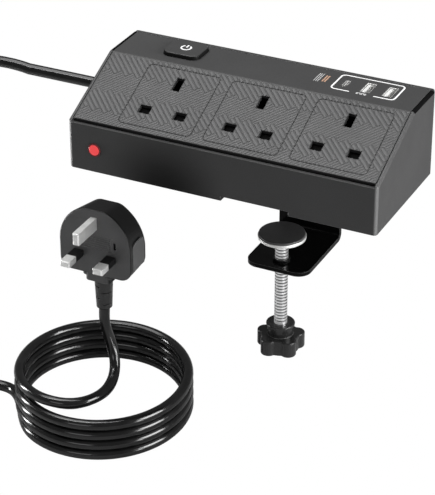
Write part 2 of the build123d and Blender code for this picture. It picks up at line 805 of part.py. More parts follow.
def plug_plane(depth=0.0):
    """The plug's pin face, centred between the live and neutral pins; z points out along the pins."""
    return Plane(origin=(plug_x, plug_face_y + depth, plug_row_z), x_dir=(1, 0, 0), z_dir=(0, -1, 0))


def plug_outline(depth, outline, heel_z, hip_radius):
    """Outline of the plug at one depth behind its pin face: flat crown, bowed flanks, round hips."""
    crown, flank, foot = outline
    hip_z = heel_z + hip_radius
    heel_x = foot[0] - hip_radius
    hip = (heel_x + hip_radius * cos(radians(45.0)), hip_z - hip_radius * sin(radians(45.0)))
    with BuildSketch(plug_plane(depth)) as outline_face:
        with BuildLine():
            Line((-crown[0], crown[1]), crown)
            ThreePointArc(crown, flank, foot)
            Line(foot, (foot[0], hip_z))
            ThreePointArc((foot[0], hip_z), hip, (heel_x, heel_z))
            Line((heel_x, heel_z), (-heel_x, heel_z))
            ThreePointArc((-heel_x, heel_z), (-hip[0], hip[1]), (-foot[0], hip_z))
            Line((-foot[0], hip_z), (-foot[0], foot[1]))
            ThreePointArc((-foot[0], foot[1]), (-flank[0], flank[1]), (-crown[0], crown[1]))
        make_face()
        fillet(outline_face.vertices().sort_by(Axis.Y)[-2:], radius=crown_bend)
    return outline_face


with BuildPart() as plug_body:
    face_section = plug_outline(0.0, face_outline, face_heel_z, face_hip_radius).sketch.face()
    back_section = plug_outline(plug_depth, back_outline, back_heel_z, back_hip_radius).sketch.face()
    loft(sections=[face_section, back_section], ruled=True)
    fillet(plug_body.faces().sort_by(Axis.Y)[-1].edges(), radius=2.5)
    fillet(plug_body.faces().sort_by(Axis.Y)[0].edges(), radius=0.8)
    # neck around the top of the boot
    with BuildSketch(Plane.XY.offset(plug_row_z + neck_z)):
        with Locations((boot_x, plug_face_y + plug_depth / 2)):
            RectangleRounded(2 * neck_half_width, neck_depth, 3.0)
    extrude(amount=-(neck_z - face_heel_z) + 2.0)
    # finger grips on both sides: shallow smooth recesses
    for side in (-1, 1):
        with BuildSketch(Plane.XY.offset(plug_row_z + grip_bottom)):
            with Locations((plug_x + side * (face_outline[2][0] + 0.3), plug_face_y + plug_depth / 2)):
                Rectangle(1.6, grip_length)
        extrude(amount=grip_height, mode=Mode.SUBTRACT)
    # pocket for the fuse carrier and a nick to lever it out
    with BuildSketch(plug_plane()):
        with Locations((0, fuse_z)):
            Rectangle(fuse_carrier_width + 2 * running_gap, fuse_carrier_height + 2 * running_gap)
    extrude(amount=-fuse_carrier_depth - 1.0, mode=Mode.SUBTRACT)
    with BuildSketch(plug_plane()):
        with Locations((fuse_carrier_width / 2 + 0.9, fuse_z)):
            Rectangle(1.6, 4.5)
    extrude(amount=-1.8, mode=Mode.SUBTRACT)
    # seats for the three pins, and for the cord and its boot
    with BuildSketch(plug_plane()):
        with Locations((-pin_half_spacing, 0), (pin_half_spacing, 0)):
            Rectangle(6.35, 4.0)
        with Locations((0, earth_above_row)):
            Rectangle(4.0, 8.0)
    extrude(amount=-pin_root, mode=Mode.SUBTRACT)
    with BuildSketch(Plane.XY.offset(boot_top_z)):
        with Locations((boot_x, boot_y)):
            Circle(4.0)
    extrude(amount=6.0, mode=Mode.SUBTRACT)
save(plug_body, "plug_body")


def line_pin(side):
    """A flat pin, thinner behind its bare tip where the sleeve goes round it."""
    with BuildPart() as pin:
        with BuildSketch(plug_plane(-line_pin_length)):
            with Locations((side * pin_half_spacing, 0)):
                Rectangle(6.35, 4.0)
        extrude(amount=-(line_pin_length - sleeve_length))
        chamfer(pin.faces().sort_by(Axis.Y)[0].edges(), length=0.7)
        with BuildSketch(plug_plane(-sleeve_length)):
            with Locations((side * pin_half_spacing, 0)):
                Rectangle(5.3, 2.95)
        extrude(amount=-sleeve_length)
        with BuildSketch(plug_plane()):
            with Locations((side * pin_half_spacing, 0)):
                Rectangle(6.3, 3.95)
        extrude(amount=-pin_root)
    return pin


save(line_pin(-1), "plug_live_pin")
save(line_pin(1), "plug_neutral_pin")

with BuildPart() as plug_earth_pin:
    with BuildSketch(plug_plane(-earth_pin_length)):
        with Locations((0, earth_above_row)):
            Rectangle(4.0, 8.0)
    extrude(amount=-(earth_pin_length + pin_root))
    chamfer(plug_earth_pin.faces().sort_by(Axis.Y)[0].edges(), length=0.7)
save(plug_earth_pin, "plug_earth_pin")

with BuildPart() as pin_sleeves:
    with BuildSketch(plug_plane()):
        with Locations((-pin_half_spacing, 0), (pin_half_spacing, 0)):
            Rectangle(6.35, 4.0)
            Rectangle(5.35, 3.0, mode=Mode.SUBTRACT)
    extrude(amount=sleeve_length)
save(pin_sleeves, "pin_sleeves")

with BuildPart() as fuse_carrier:
    with BuildSketch(plug_plane()):
        with Locations((0, fuse_z)):
            Rectangle(fuse_carrier_width, fuse_carrier_height)
    extrude(amount=-fuse_carrier_depth)
    with BuildSketch(Plane.YZ.offset(plug_x - 12.7)):
        with Locations((plug_face_y + 6.0, plug_row_z + fuse_z)):
            Circle(fuse_radius + 0.05)
        with Locations((plug_face_y + 9.0, plug_row_z + fuse_z)):
            Rectangle(6.0, 2 * fuse_radius + 0.1)
    extrude(amount=25.4, mode=Mode.SUBTRACT)
save(fuse_carrier, "fuse_carrier")

with BuildPart() as plug_fuse:
    with BuildSketch(Plane.YZ.offset(plug_x - 12.6)):
        with Locations((plug_face_y + 6.0, plug_row_z + fuse_z)):
            Circle(fuse_radius)
    extrude(amount=25.2)
    with BuildSketch(Plane.YZ.offset(plug_x - 7.0)):
        with Locations((plug_face_y + 6.0, plug_row_z + fuse_z)):
            Circle(fuse_radius + 1.0)
            Circle(fuse_radius - 0.2, mode=Mode.SUBTRACT)
    extrude(amount=14.0, mode=Mode.SUBTRACT)
save(plug_fuse, "plug_fuse")

boot_top_radius = 5.85
boot_tip_radius = 4.95
boot_bore_radius = cord_radius + 0.3
with BuildPart() as plug_boot:
    with BuildSketch(Plane(origin=(boot_x, boot_y, 0), x_dir=(1, 0, 0), z_dir=(0, -1, 0))):
        with BuildLine():
            Polyline(
                (boot_bore_radius, boot_top_z),
                (boot_top_radius, boot_top_z),
                (boot_tip_radius, boot_bottom_z + 0.8),
                (boot_tip_radius - 0.8, boot_bottom_z),
                (boot_bore_radius, boot_bottom_z),
                close=True,
            )
        make_face()
    revolve(axis=Axis((boot_x, boot_y, 0), (0, 0, 1)))
    # slits on alternate sides let it bend
    for k in range(4):
        slit_z = boot_top_z - 6.0 - 4.2 * k
        with BuildSketch(Plane.XY.offset(slit_z)):
            for turn in (0, 1):
                heading = 45.0 + 90.0 * (k % 2) + 180.0 * turn
                with Locations(Location((boot_x, boot_y), heading)):
                    with Locations((5.2, 0)):
                        Rectangle(2.6, 8.0)
        extrude(amount=0.9, mode=Mode.SUBTRACT)
save(plug_boot, "plug_boot")

# ---- clamp ----
flange_bottom_z = channel_height - bracket_thickness
flange_front_y = -34.0
bracket_left_x = bracket_x - bracket_width / 2
bush_top_z = plate_top_z + 1.9
bush_radius = 5.1
spigot_radius = 4.55

with BuildPart() as clamp_bracket:
    with BuildSketch(end_plane(bracket_left_x)):
        with BuildLine():
            Polyline(
                (flange_front_y, channel_height),
                (bracket_rear_y, channel_height),
                (bracket_rear_y, plate_bottom_z),
                (plate_front_y, plate_bottom_z),
                (plate_front_y, plate_top_z),
                (bracket_rear_y - bracket_thickness, plate_top_z),
                (bracket_rear_y - bracket_thickness, flange_bottom_z),
                (flange_front_y, flange_bottom_z),
                close=True,
            )
        make_face()
    extrude(amount=bracket_width)
    along_x = clamp_bracket.edges().filter_by(Axis.X)
    outer_bends = along_x.group_by(Axis.Y)[-1]
    inner_bends = along_x.filter_by(lambda e: abs(e.center().Y - bracket_rear_y + bracket_thickness) < 0.01)
    fillet(outer_bends, radius=4.5)
    fillet(inner_bends, radius=2.0)
    upright = clamp_bracket.edges().filter_by(Axis.Z)
    fillet(upright.group_by(Axis.Y)[0], radius=3.0)
    fillet(upright.filter_by(lambda e: abs(e.center().Y - plate_front_y) < 0.01), radius=8.0)
    with Locations((bracket_x, screw_y, plate_top_z)):
        Hole(radius=spigot_radius + 0.05, depth=bracket_thickness)
    with Locations(*[Location((x, y, flange_bottom_z), (180, 0, 0)) for x, y in bracket_screw_spots]):
        CounterSinkHole(radius=2.05, counter_sink_radius=3.85, depth=bracket_thickness)
save(clamp_bracket, "clamp_bracket")


def countersunk_screws(spots, base_z, head_radius, shank_radius, tip_z):
    """Flat-headed screws pointing up, their heads level with base_z."""
    head_height = (head_radius - shank_radius) / 0.8693
    with BuildPart() as screws:
        for x, y in spots:
            with BuildSketch(Plane(origin=(x, y, 0), x_dir=(1, 0, 0), z_dir=(0, -1, 0))):
                with BuildLine():
                    Polyline(
                        (0, base_z),
                        (head_radius, base_z),
                        (shank_radius, base_z + head_height),
                        (shank_radius, tip_z - shank_radius),
                        (0, tip_z),
                        close=True,
                    )
                make_face()
            revolve(axis=Axis((x, y, 0), (0, 0, 1)))
            with BuildSketch(Plane.XY.offset(base_z)):
                with Locations((x, y)):
                    Rectangle(head_radius, 0.5)
                    Rectangle(0.5, head_radius)
            extrude(amount=0.6, mode=Mode.SUBTRACT)
    return screws


save(countersunk_screws(bracket_screw_spots, flange_bottom_z, 3.6, bracket_screw_radius, 8.8), "bracket_screws")
save(countersunk_screws(post_spots, 0.1, 2.75, 1.25, 14.0), "cover_screws")

with BuildPart() as thread_bush:
    with BuildSketch(Plane.XY.offset(plate_top_z)):
        with Locations((bracket_x, screw_y)):
            Circle(bush_radius)
    extrude(amount=bush_top_z - plate_top_z)
    fillet(thread_bush.edges().group_by(Axis.Z)[-1], radius=0.4)
    with BuildSketch(Plane.XY.offset(plate_bottom_z)):
        with Locations((bracket_x, screw_y)):
            Circle(spigot_radius)
    extrude(amount=bracket_thickness)
    with BuildSketch(Plane.XY.offset(plate_bottom_z)):
        with Locations((bracket_x, screw_y)):
            Circle(screw_radius + 0.07)
    extrude(amount=bush_top_z - plate_bottom_z, mode=Mode.SUBTRACT)
save(thread_bush, "thread_bush")

rubber_thickness = 1.2
disc_thickness = 2.0
disc_top_z = pad_top_z - rubber_thickness
disc_bottom_z = disc_top_z - disc_thickness
ball_radius = 3.0
ball_z = disc_bottom_z - 2.4
hub_bottom_z = disc_bottom_z - 4.8
neck_radius = 2.0
thread_top_z = hub_bottom_z - 0.6
thread_depth = 0.65
crest_width = 0.7
thread_flank = 0.4
knob_bottom_z = knob_top_z - hub_height - star_height
screw_end_z = knob_bottom_z + 2.5

with BuildPart() as clamp_screw:
    with BuildSketch(Plane(origin=(bracket_x, screw_y, 0), x_dir=(1, 0, 0), z_dir=(0, -1, 0))):
        with BuildLine():
            thread_count = int((thread_top_z - knob_top_z - 1.0) / thread_pitch)
            ridges = [(screw_radius, thread_top_z - 0.4)]
            for k in range(thread_count):
                ridge_z = thread_top_z - 0.4 - k * thread_pitch
                ridges.append((screw_radius, ridge_z - crest_width))
                ridges.append((screw_radius - thread_depth, ridge_z - crest_width - thread_flank))
                ridges.append((screw_radius - thread_depth, ridge_z - thread_pitch + thread_flank))
                ridges.append((screw_radius, ridge_z - thread_pitch))
            Polyline(
                (0, screw_end_z),
                (0, ball_z),
                (neck_radius, ball_z),
                (neck_radius, thread_top_z),
                (screw_radius - 0.4, thread_top_z),
                *ridges,
                (screw_radius, screw_end_z),
                close=True,
            )
        make_face()
    revolve(axis=Axis((bracket_x, screw_y, 0), (0, 0, 1)))
    with Locations((bracket_x, screw_y, ball_z)):
        Sphere(ball_radius)
save(clamp_screw, "clamp_screw")

hub_radius = 8.7
hub_foot_radius = 7.6
star_radius = 14.7
lobe_radius = 4.8
lobes = 5
first_lobe_heading = -37.7
star_core_radius = 11.5
with BuildPart() as clamp_knob:
    star_top_z = knob_top_z - hub_height
    with BuildSketch(Plane(origin=(bracket_x, screw_y, knob_bottom_z))):
        Circle(star_core_radius)
        with PolarLocations(star_radius - lobe_radius, lobes, start_angle=first_lobe_heading):
            Circle(lobe_radius)
    extrude(amount=star_height)
    fillet(clamp_knob.edges().filter_by(Axis.Z), radius=1.2)
    rims = clamp_knob.faces().filter_by(Axis.Z).edges()
    fillet(rims, radius=0.8)
    with BuildSketch(Plane.XY.offset(star_top_z - 1.0)):
        with Locations((bracket_x, screw_y)):
            Circle(hub_foot_radius)
    with BuildSketch(Plane.XY.offset(knob_top_z)):
        with Locations((bracket_x, screw_y)):
            Circle(hub_radius)
    loft()
    fillet(clamp_knob.edges().group_by(Axis.Z)[-1], radius=0.7)
    with BuildSketch(Plane.XY.offset(knob_top_z)):
        with Locations((bracket_x, screw_y)):
            Circle(screw_radius + 0.02)
    extrude(amount=-(knob_top_z - screw_end_z), mode=Mode.SUBTRACT)
save(clamp_knob, "clamp_knob")

with BuildPart() as pad_disc:
    with BuildSketch(Plane.XY.offset(disc_bottom_z)):
        with Locations((bracket_x, screw_y)):
            Circle(pad_radius)
    extrude(amount=disc_thickness)
    fillet(pad_disc.edges(), radius=0.5)
    with BuildSketch(Plane.XY.offset(hub_bottom_z)):
        with Locations((bracket_x, screw_y)):
            Circle(5.4)
    extrude(amount=disc_bottom_z - hub_bottom_z)
    with Locations((bracket_x, screw_y, ball_z)):
        Sphere(ball_radius + 0.05, mode=Mode.SUBTRACT)
    with BuildSketch(Plane.XY.offset(hub_bottom_z)):
        with Locations((bracket_x, screw_y)):
            Circle(neck_radius + 0.5)
    extrude(amount=ball_z - hub_bottom_z, mode=Mode.SUBTRACT)
save(pad_disc, "pad_disc")

with BuildPart() as pad_rubber:
    with BuildSketch(Plane.XY.offset(disc_top_z)):
        with Locations((bracket_x, screw_y)):
            Circle(pad_radius - 0.5)
    extrude(amount=rubber_thickness)
    fillet(pad_rubber.edges().group_by(Axis.Z)[-1], radius=0.5)
save(pad_rubber, "pad_rubber")

with BuildPart() as foot_pads:
    with BuildSketch(Plane.XY):
        with Locations(*foot_spots):
            RectangleRounded(foot_length - 0.4, foot_width - 0.4, 1.8)
    extrude(amount=foot_thickness)
save(foot_pads, "foot_pads")
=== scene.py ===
import json
from math import atan2, ceil, cos, hypot, pi, radians, sin, tau

import bmesh
import bpy
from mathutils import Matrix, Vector


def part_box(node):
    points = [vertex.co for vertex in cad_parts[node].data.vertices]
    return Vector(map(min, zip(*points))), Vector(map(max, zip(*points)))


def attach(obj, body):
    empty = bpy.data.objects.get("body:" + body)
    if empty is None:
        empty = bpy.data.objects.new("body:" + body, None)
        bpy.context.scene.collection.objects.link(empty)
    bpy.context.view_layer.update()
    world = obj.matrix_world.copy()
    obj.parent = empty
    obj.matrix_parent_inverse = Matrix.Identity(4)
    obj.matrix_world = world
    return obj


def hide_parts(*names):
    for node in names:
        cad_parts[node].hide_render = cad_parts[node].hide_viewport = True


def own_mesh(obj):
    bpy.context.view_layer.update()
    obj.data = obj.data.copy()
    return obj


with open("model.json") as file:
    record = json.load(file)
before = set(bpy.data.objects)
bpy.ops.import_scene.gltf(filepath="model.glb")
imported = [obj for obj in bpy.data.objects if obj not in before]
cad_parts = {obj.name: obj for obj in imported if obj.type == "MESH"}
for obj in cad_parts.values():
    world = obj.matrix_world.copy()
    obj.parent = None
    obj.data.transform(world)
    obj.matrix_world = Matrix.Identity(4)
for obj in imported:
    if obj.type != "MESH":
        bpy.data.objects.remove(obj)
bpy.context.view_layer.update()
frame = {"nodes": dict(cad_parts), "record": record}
nodes = frame["nodes"]
MM = 0.001

# ---------------------------------------------------------------- places taken from the frame
cover_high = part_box("top_cover")[1]
tray_low, tray_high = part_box("casing_tray")
button_low, button_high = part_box("power_button")
usb_c_low, usb_c_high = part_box("usb_c_port")
usb_left_low, usb_left_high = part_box("usb_a_port_left")
usb_right_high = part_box("usb_a_port_right")[1]
plug_low, plug_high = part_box("plug_body")
sleeves_low, sleeves_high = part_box("pin_sleeves")
cord_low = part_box("mains_cable")[0]
screw_low, screw_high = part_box("clamp_screw")
screw_x, screw_y = (screw_low.x + screw_high.x) / 2, (screw_low.y + screw_high.y) / 2

# the housing's side outline: a front wall, a sloping face with the sockets and a flat strip behind it
strip_z = tray_high.z
strip_depth = 33.0 * MM
front_height = 30.0 * MM
crest_y = tray_high.y - strip_depth
slope_angle = atan2(strip_z - front_height, crest_y - tray_low.y)
slope_length = hypot(strip_z - front_height, crest_y - tray_low.y)

# the sockets, measured up the slope from its lower edge
socket_xs = [mount["pos_m"][0] for mount in frame["record"]["mounts"] if mount["name"].startswith("socket_")]
pin_spacing = 22.2 * MM
pin_row_s = 18.9 * MM
earth_s = pin_row_s + pin_spacing
pin_half_spacing = pin_spacing / 2


def on_slope(x, s, lift=0.0):
    """A place on the sloping face: x along the housing, s up the slope, lift out of the face."""
    y = tray_low.y + s * cos(slope_angle) - lift * sin(slope_angle)
    z = front_height + s * sin(slope_angle) + lift * cos(slope_angle)
    return Vector((x, y, z))


# ---------------------------------------------------------------- material helpers
# the colour sockets of Blender's Mix node, which shares its socket names between data types
MIX_COLOUR_INPUTS = (6, 7)
MIX_COLOUR_OUTPUT = 2


class Shader:
    """A small helper that adds nodes to one material and links them."""

    def __init__(self, name):
        self.material = bpy.data.materials.new(name)
        self.material.use_nodes = True
        self.tree = self.material.node_tree
        self.surface = self.tree.nodes["Principled BSDF"]
        self.place = self.tree.nodes.new("ShaderNodeTexCoord").outputs["Object"]

    def node(self, kind, **settings):
        """A new node with the given settings."""
        made = self.tree.nodes.new(kind)
        for key, value in settings.items():
            setattr(made, key, value)
        return made

    def link(self, source, target):
        self.tree.links.new(source, target)

    def noise(self, scale, detail=3.0, roughness=0.55, stretch=None):
        """Noise over the object's own coordinates; stretch multiplies them first."""
        made = self.node("ShaderNodeTexNoise")
        made.inputs["Scale"].default_value = scale
        made.inputs["Detail"].default_value = detail
        made.inputs["Roughness"].default_value = roughness
        if stretch:
            mapping = self.node("ShaderNodeMapping")
            mapping.inputs["Scale"].default_value = stretch
            self.link(self.place, mapping.inputs["Vector"])
            self.link(mapping.outputs["Vector"], made.inputs["Vector"])
        else:
            self.link(self.place, made.inputs["Vector"])
        return made.outputs["Fac"]

    def ramp(self, source, stops):
        """Colours picked by a value; stops is a list of (position, colour)."""
        made = self.node("ShaderNodeValToRGB")
        elements = made.color_ramp.elements
        while len(elements) < len(stops):
            elements.new(0.5)
        for element, (position, colour) in zip(elements, stops):
            element.position = position
            element.color = (*colour, 1.0)
        self.link(source, made.inputs["Fac"])
        return made.outputs["Color"]

    def span(self, source, low, high):
        """A value from 0 to 1 spread over low to high."""
        made = self.node("ShaderNodeMapRange")
        made.inputs["To Min"].default_value = low
        made.inputs["To Max"].default_value = high
        self.link(source, made.inputs["Value"])
        return made.outputs["Result"]

    def step(self, source, start, end):
        """A smooth step from 0 at start to 1 at end."""
        made = self.node("ShaderNodeMapRange", interpolation_type="SMOOTHSTEP")
        made.inputs["From Min"].default_value = start
        made.inputs["From Max"].default_value = end
        self.link(source, made.inputs["Value"])
        return made.outputs["Result"]

    def mix(self, factor, first, second):
        """The first colour at factor 0 and the second at 1."""
        made = self.node("ShaderNodeMix", data_type="RGBA")
        if isinstance(factor, float):
            made.inputs["Factor"].default_value = factor
        else:
            self.link(factor, made.inputs["Factor"])
        for index, value in zip(MIX_COLOUR_INPUTS, (first, second)):
            if isinstance(value, tuple):
                made.inputs[index].default_value = (*value, 1.0)
            else:
                self.link(value, made.inputs[index])
        return made.outputs[MIX_COLOUR_OUTPUT]

    def side_on(self, direction):
        """1 on faces that look well away from a direction and 0 on those that face it."""
        looking = self.node("ShaderNodeVectorMath", operation="DOT_PRODUCT")
        self.link(self.node("ShaderNodeNewGeometry").outputs["Normal"], looking.inputs[0])
        looking.inputs[1].default_value = direction
        return self.step(looking.outputs["Value"], 0.95, 0.55)

    def near(self, spot, reach):
        """1 at a spot, falling to 0 at the given reach."""
        distance = self.node("ShaderNodeVectorMath", operation="DISTANCE")
        self.link(self.place, distance.inputs[0])
        distance.inputs[1].default_value = spot
        return self.step(distance.outputs["Value"], reach, reach * 0.1)

    def upright_corner(self):
        """1 on rounded upright corners, whose normals lie between the x and the y axis."""
        parts = self.node("ShaderNodeSeparateXYZ")
        self.link(self.node("ShaderNodeNewGeometry").outputs["Normal"], parts.inputs[0])
        product = self.node("ShaderNodeMath", operation="MULTIPLY")
        self.link(parts.outputs["X"], product.inputs[0])
        self.link(parts.outputs["Y"], product.inputs[1])
        size = self.node("ShaderNodeMath", operation="ABSOLUTE")
        self.link(product.outputs[0], size.inputs[0])
        return self.step(size.outputs[0], 0.15, 0.45)

    def edge_mask(self, radius, low=0.02, high=0.25):
        """1 on sharp edges and 0 on flats, from how far a rounded normal leans from the true one."""
        bevel = self.node("ShaderNodeBevel", samples=4)
        bevel.inputs["Radius"].default_value = radius
        geometry = self.node("ShaderNodeNewGeometry")
        dot = self.node("ShaderNodeVectorMath", operation="DOT_PRODUCT")
        self.link(bevel.outputs["Normal"], dot.inputs[0])
        self.link(geometry.outputs["True Normal"], dot.inputs[1])
        lean = self.node("ShaderNodeMath", operation="SUBTRACT")
        lean.inputs[0].default_value = 1.0
        self.link(dot.outputs["Value"], lean.inputs[1])
        spread = self.node("ShaderNodeMapRange")
        spread.inputs["From Min"].default_value = low
        spread.inputs["From Max"].default_value = high
        self.link(lean.outputs[0], spread.inputs["Value"])
        return spread.outputs["Result"], bevel.outputs["Normal"]

    def bump(self, height, strength, distance, normal=None):
        """Fine relief from a height, on top of an already rounded normal where one is given."""
        made = self.node("ShaderNodeBump")
        made.inputs["Strength"].default_value = strength
        made.inputs["Distance"].default_value = distance
        self.link(height, made.inputs["Height"])
        if normal is not None:
            self.link(normal, made.inputs["Normal"])
        self.link(made.outputs["Normal"], self.surface.inputs["Normal"])

    def finish(self, roughness=0.5, specular=0.5, metallic=0.0):
        """Sets what is left of the surface and hands over the material."""
        if isinstance(roughness, float):
            self.surface.inputs["Roughness"].default_value = roughness
        else:
            self.link(roughness, self.surface.inputs["Roughness"])
        self.surface.inputs["Specular IOR Level"].default_value = specular
        self.surface.inputs["Metallic"].default_value = metallic
        return self.material


def grey(value):
    """A grey that leans slightly to blue, as black plastic does."""
    return (value, value, value * 1.02)


# what moulded plastic turns to on its specks, on edges (wear and painted highlight), on corners (painted
# highlight), on turned-away sides (painted shade) and in patches of painted shade
SPECK_TONE = (0.25, 0.25, 0.25)
WORN_AND_HIGHLIGHT_TONE = (0.5, 0.5, 0.5)
PAINTED_CORNER_HIGHLIGHT_TONE = (0.42, 0.42, 0.42)
PAINTED_SIDE_SHADE_TONE = (0.002, 0.002, 0.002)
PAINTED_PATCH_SHADE_TONE = (0.003, 0.003, 0.003)


def moulded_plastic(name, dark, light, roughness=(0.42, 0.55), grain=1500.0, edge_wear_and_highlight=0.10, bevel=0.5 * MM,
                    relief=0.02 * MM, specular=0.5, painted_shade_patch=None, painted_shade_away_from=None, painted_glow=0.0,
                    painted_corner_highlight=0.0, speckle=0.12):
    """Moulded plastic: fine spark texture, slow colour drift, paler edges from wear and painted highlight.

    dark and light are the ends of the colour drift. speckle, edge_wear_and_highlight and
    painted_corner_highlight say how far specks, edges and upright corners turn paler; the edges for wear and
    painted highlight, the corners as a painted highlight. painted_shade_patch is (spot, reach) of a darker
    patch of painted shade, painted_shade_away_from the direction whose faces keep the full colour while
    turned-away faces get painted shade, and painted_glow the share of the colour given off as light, a
    painted glow.
    """
    shader = Shader(name)
    specular_input = shader.surface.inputs["Specular IOR Level"]
    drift = shader.ramp(shader.noise(22.0, 4.0), [(0.35, dark), (0.68, light)])
    speck = shader.noise(grain, 2.0, 0.6)
    tinted = shader.mix(shader.span(speck, 0.0, speckle), drift, SPECK_TONE)
    edges, soft_normal = shader.edge_mask(bevel)
    # edges turn paler, partly for wear and partly as a painted highlight
    colour = shader.mix(shader.span(edges, 0.0, edge_wear_and_highlight), tinted, WORN_AND_HIGHLIGHT_TONE)
    # painted highlight: rounded upright corners turn paler
    if painted_corner_highlight:
        corner = shader.upright_corner()
        colour = shader.mix(shader.span(corner, 0.0, painted_corner_highlight), colour, PAINTED_CORNER_HIGHLIGHT_TONE)
    # painted shade: faces turned away from the given direction turn nearly black and lose some shine
    if painted_shade_away_from:
        side = shader.side_on(painted_shade_away_from)
        colour = shader.mix(shader.span(side, 0.0, 0.92), colour, PAINTED_SIDE_SHADE_TONE)
        shader.link(shader.span(side, specular, 0.22), specular_input)
    # painted shade: a darker patch with less shine round a spot
    if painted_shade_patch:
        shade_patch = shader.near(*painted_shade_patch)
        colour = shader.mix(shader.span(shade_patch, 0.0, 0.85), colour, PAINTED_PATCH_SHADE_TONE)
        shader.link(shader.span(shade_patch, specular, 0.12), specular_input)
    # painted glow: part of the colour is given off as light
    if painted_glow:
        shader.link(colour, shader.surface.inputs["Emission Color"])
        shader.surface.inputs["Emission Strength"].default_value = painted_glow
    shader.link(colour, shader.surface.inputs["Base Color"])
    shader.bump(speck, 0.35, relief, soft_normal)
    return shader.finish(shader.span(shader.noise(60.0, 3.0), *roughness), specular)


def brushed_metal(name, dark, light, roughness=(0.16, 0.34), stretch=(1.0, 1.0, 40.0), grain=900.0,
                  relief=0.01 * MM):
    """Plated metal with fine drawn lines, mottling and a painted highlight on the edges."""
    shader = Shader(name)
    lines = shader.noise(grain, 3.0, 0.6, stretch)
    mottle = shader.noise(180.0, 4.0)
    tone = shader.ramp(mottle, [(0.3, dark), (0.7, light)])
    edges, soft_normal = shader.edge_mask(0.25 * MM)
    # painted highlight: the edges turn nearly white
    painted_edge_highlight = shader.mix(shader.span(edges, 0.0, 0.35), tone, (0.95, 0.95, 0.96))
    shader.link(painted_edge_highlight, shader.surface.inputs["Base Color"])
    shader.bump(lines, 0.25, relief, soft_normal)
    return shader.finish(shader.span(lines, *roughness), 0.5, 1.0)


def glossy_sheath(name, dark, light, roughness=(0.16, 0.26)):
    """Extruded cord sheath: nearly smooth, faint drawn lines and dust in the colour."""
    shader = Shader(name)
    tone = shader.ramp(shader.noise(90.0, 5.0), [(0.4, dark), (0.75, light)])
    shader.link(tone, shader.surface.inputs["Base Color"])
    shader.bump(shader.noise(420.0, 3.0), 0.12, 0.03 * MM)
    return shader.finish(shader.span(shader.noise(140.0, 3.0), *roughness), 0.6)


def threaded_metal(name, axis_x, axis_y, root_radius, crest_radius):
    """Bright plated thread with painted shade in the roots and a glowing painted highlight on the crests,
    told apart by distance from the axis.
    """
    shader = Shader(name)
    offset = shader.node("ShaderNodeVectorMath", operation="SUBTRACT")
    shader.link(shader.place, offset.inputs[0])
    offset.inputs[1].default_value = (axis_x, axis_y, 0.0)
    flat = shader.node("ShaderNodeVectorMath", operation="MULTIPLY")
    shader.link(offset.outputs["Vector"], flat.inputs[0])
    flat.inputs[1].default_value = (1.0, 1.0, 0.0)
    reach = shader.node("ShaderNodeVectorMath", operation="LENGTH")
    shader.link(flat.outputs["Vector"], reach.inputs[0])
    crest = shader.node("ShaderNodeMapRange")
    crest.inputs["From Min"].default_value = root_radius
    crest.inputs["From Max"].default_value = crest_radius
    shader.link(reach.outputs["Value"], crest.inputs["Value"])
    mottle = shader.ramp(shader.noise(300.0, 4.0), [(0.3, (0.86, 0.86, 0.87)), (0.7, (0.97, 0.97, 0.97))])
    # painted shade: the thread's roots stay dark grey; painted highlight: its crests take the bright tone and
    # glow
    colour = shader.mix(crest.outputs["Result"], (0.22, 0.22, 0.22), mottle)
    shader.link(colour, shader.surface.inputs["Base Color"])
    shader.link(mottle, shader.surface.inputs["Emission Color"])
    shader.link(shader.span(crest.outputs["Result"], 0.0, 0.22), shader.surface.inputs["Emission Strength"])
    scratches = shader.noise(900.0, 3.0, 0.6, (1.0, 1.0, 30.0))
    shader.bump(scratches, 0.2, 0.01 * MM)
    return shader.finish(shader.span(scratches, 0.24, 0.4), 0.5, 1.0)


# ---------------------------------------------------------------- materials
# painted shade: a soft dark patch low on the front wall, as (spot, reach)
front_shade_patch = ((-0.034, -0.042, -0.002), 0.045)
# the housing: paler edges partly wear and partly painted highlight, painted highlight on upright corners,
# painted shade in a patch on the front wall
housing_plastic = moulded_plastic("housing_plastic", grey(0.021), grey(0.027), (0.36, 0.48), edge_wear_and_highlight=0.22,
                                  bevel=0.9 * MM, painted_shade_patch=front_shade_patch, painted_corner_highlight=0.22)
strip_plastic = moulded_plastic("cover_plastic", grey(0.025), grey(0.031), (0.46, 0.58))
ridge_plastic = moulded_plastic("ridge_plastic", grey(0.038), grey(0.050), (0.36, 0.48), edge_wear_and_highlight=0.12,
                                bevel=0.15 * MM)
# the button's sides get painted shade
button_plastic = moulded_plastic("button_plastic", grey(0.024), grey(0.030), (0.40, 0.50),
                                 painted_shade_away_from=(0.0, 0.0, 1.0))
# the plug's faces turned away from the front get painted shade; its paler edges are partly wear, partly
# painted highlight
plug_plastic = moulded_plastic("plug_plastic", grey(0.046), grey(0.060), (0.28, 0.40), edge_wear_and_highlight=0.14,
                               bevel=0.7 * MM, painted_shade_away_from=(0.0, -1.0, 0.0))
grip_plastic = moulded_plastic("grip_plastic", grey(0.055), grey(0.085), (0.45, 0.6))
# the knob's paler edges are partly wear and partly painted highlight
knob_plastic = moulded_plastic("knob_plastic", grey(0.006), grey(0.011), (0.18, 0.26), edge_wear_and_highlight=0.24,
                               bevel=0.8 * MM, speckle=0.09)
dark_plastic = moulded_plastic("dark_plastic", grey(0.0012), grey(0.0025), (0.7, 0.85), edge_wear_and_highlight=0.0,
                               specular=0.08, speckle=0.0)
inner_plastic = moulded_plastic("inner_plastic", (0.42, 0.42, 0.40), (0.55, 0.55, 0.52), (0.4, 0.6), edge_wear_and_highlight=0.0)
white_plastic = moulded_plastic("white_plastic", (0.75, 0.75, 0.74), (0.85, 0.85, 0.84), (0.35, 0.5),
                                edge_wear_and_highlight=0.0)
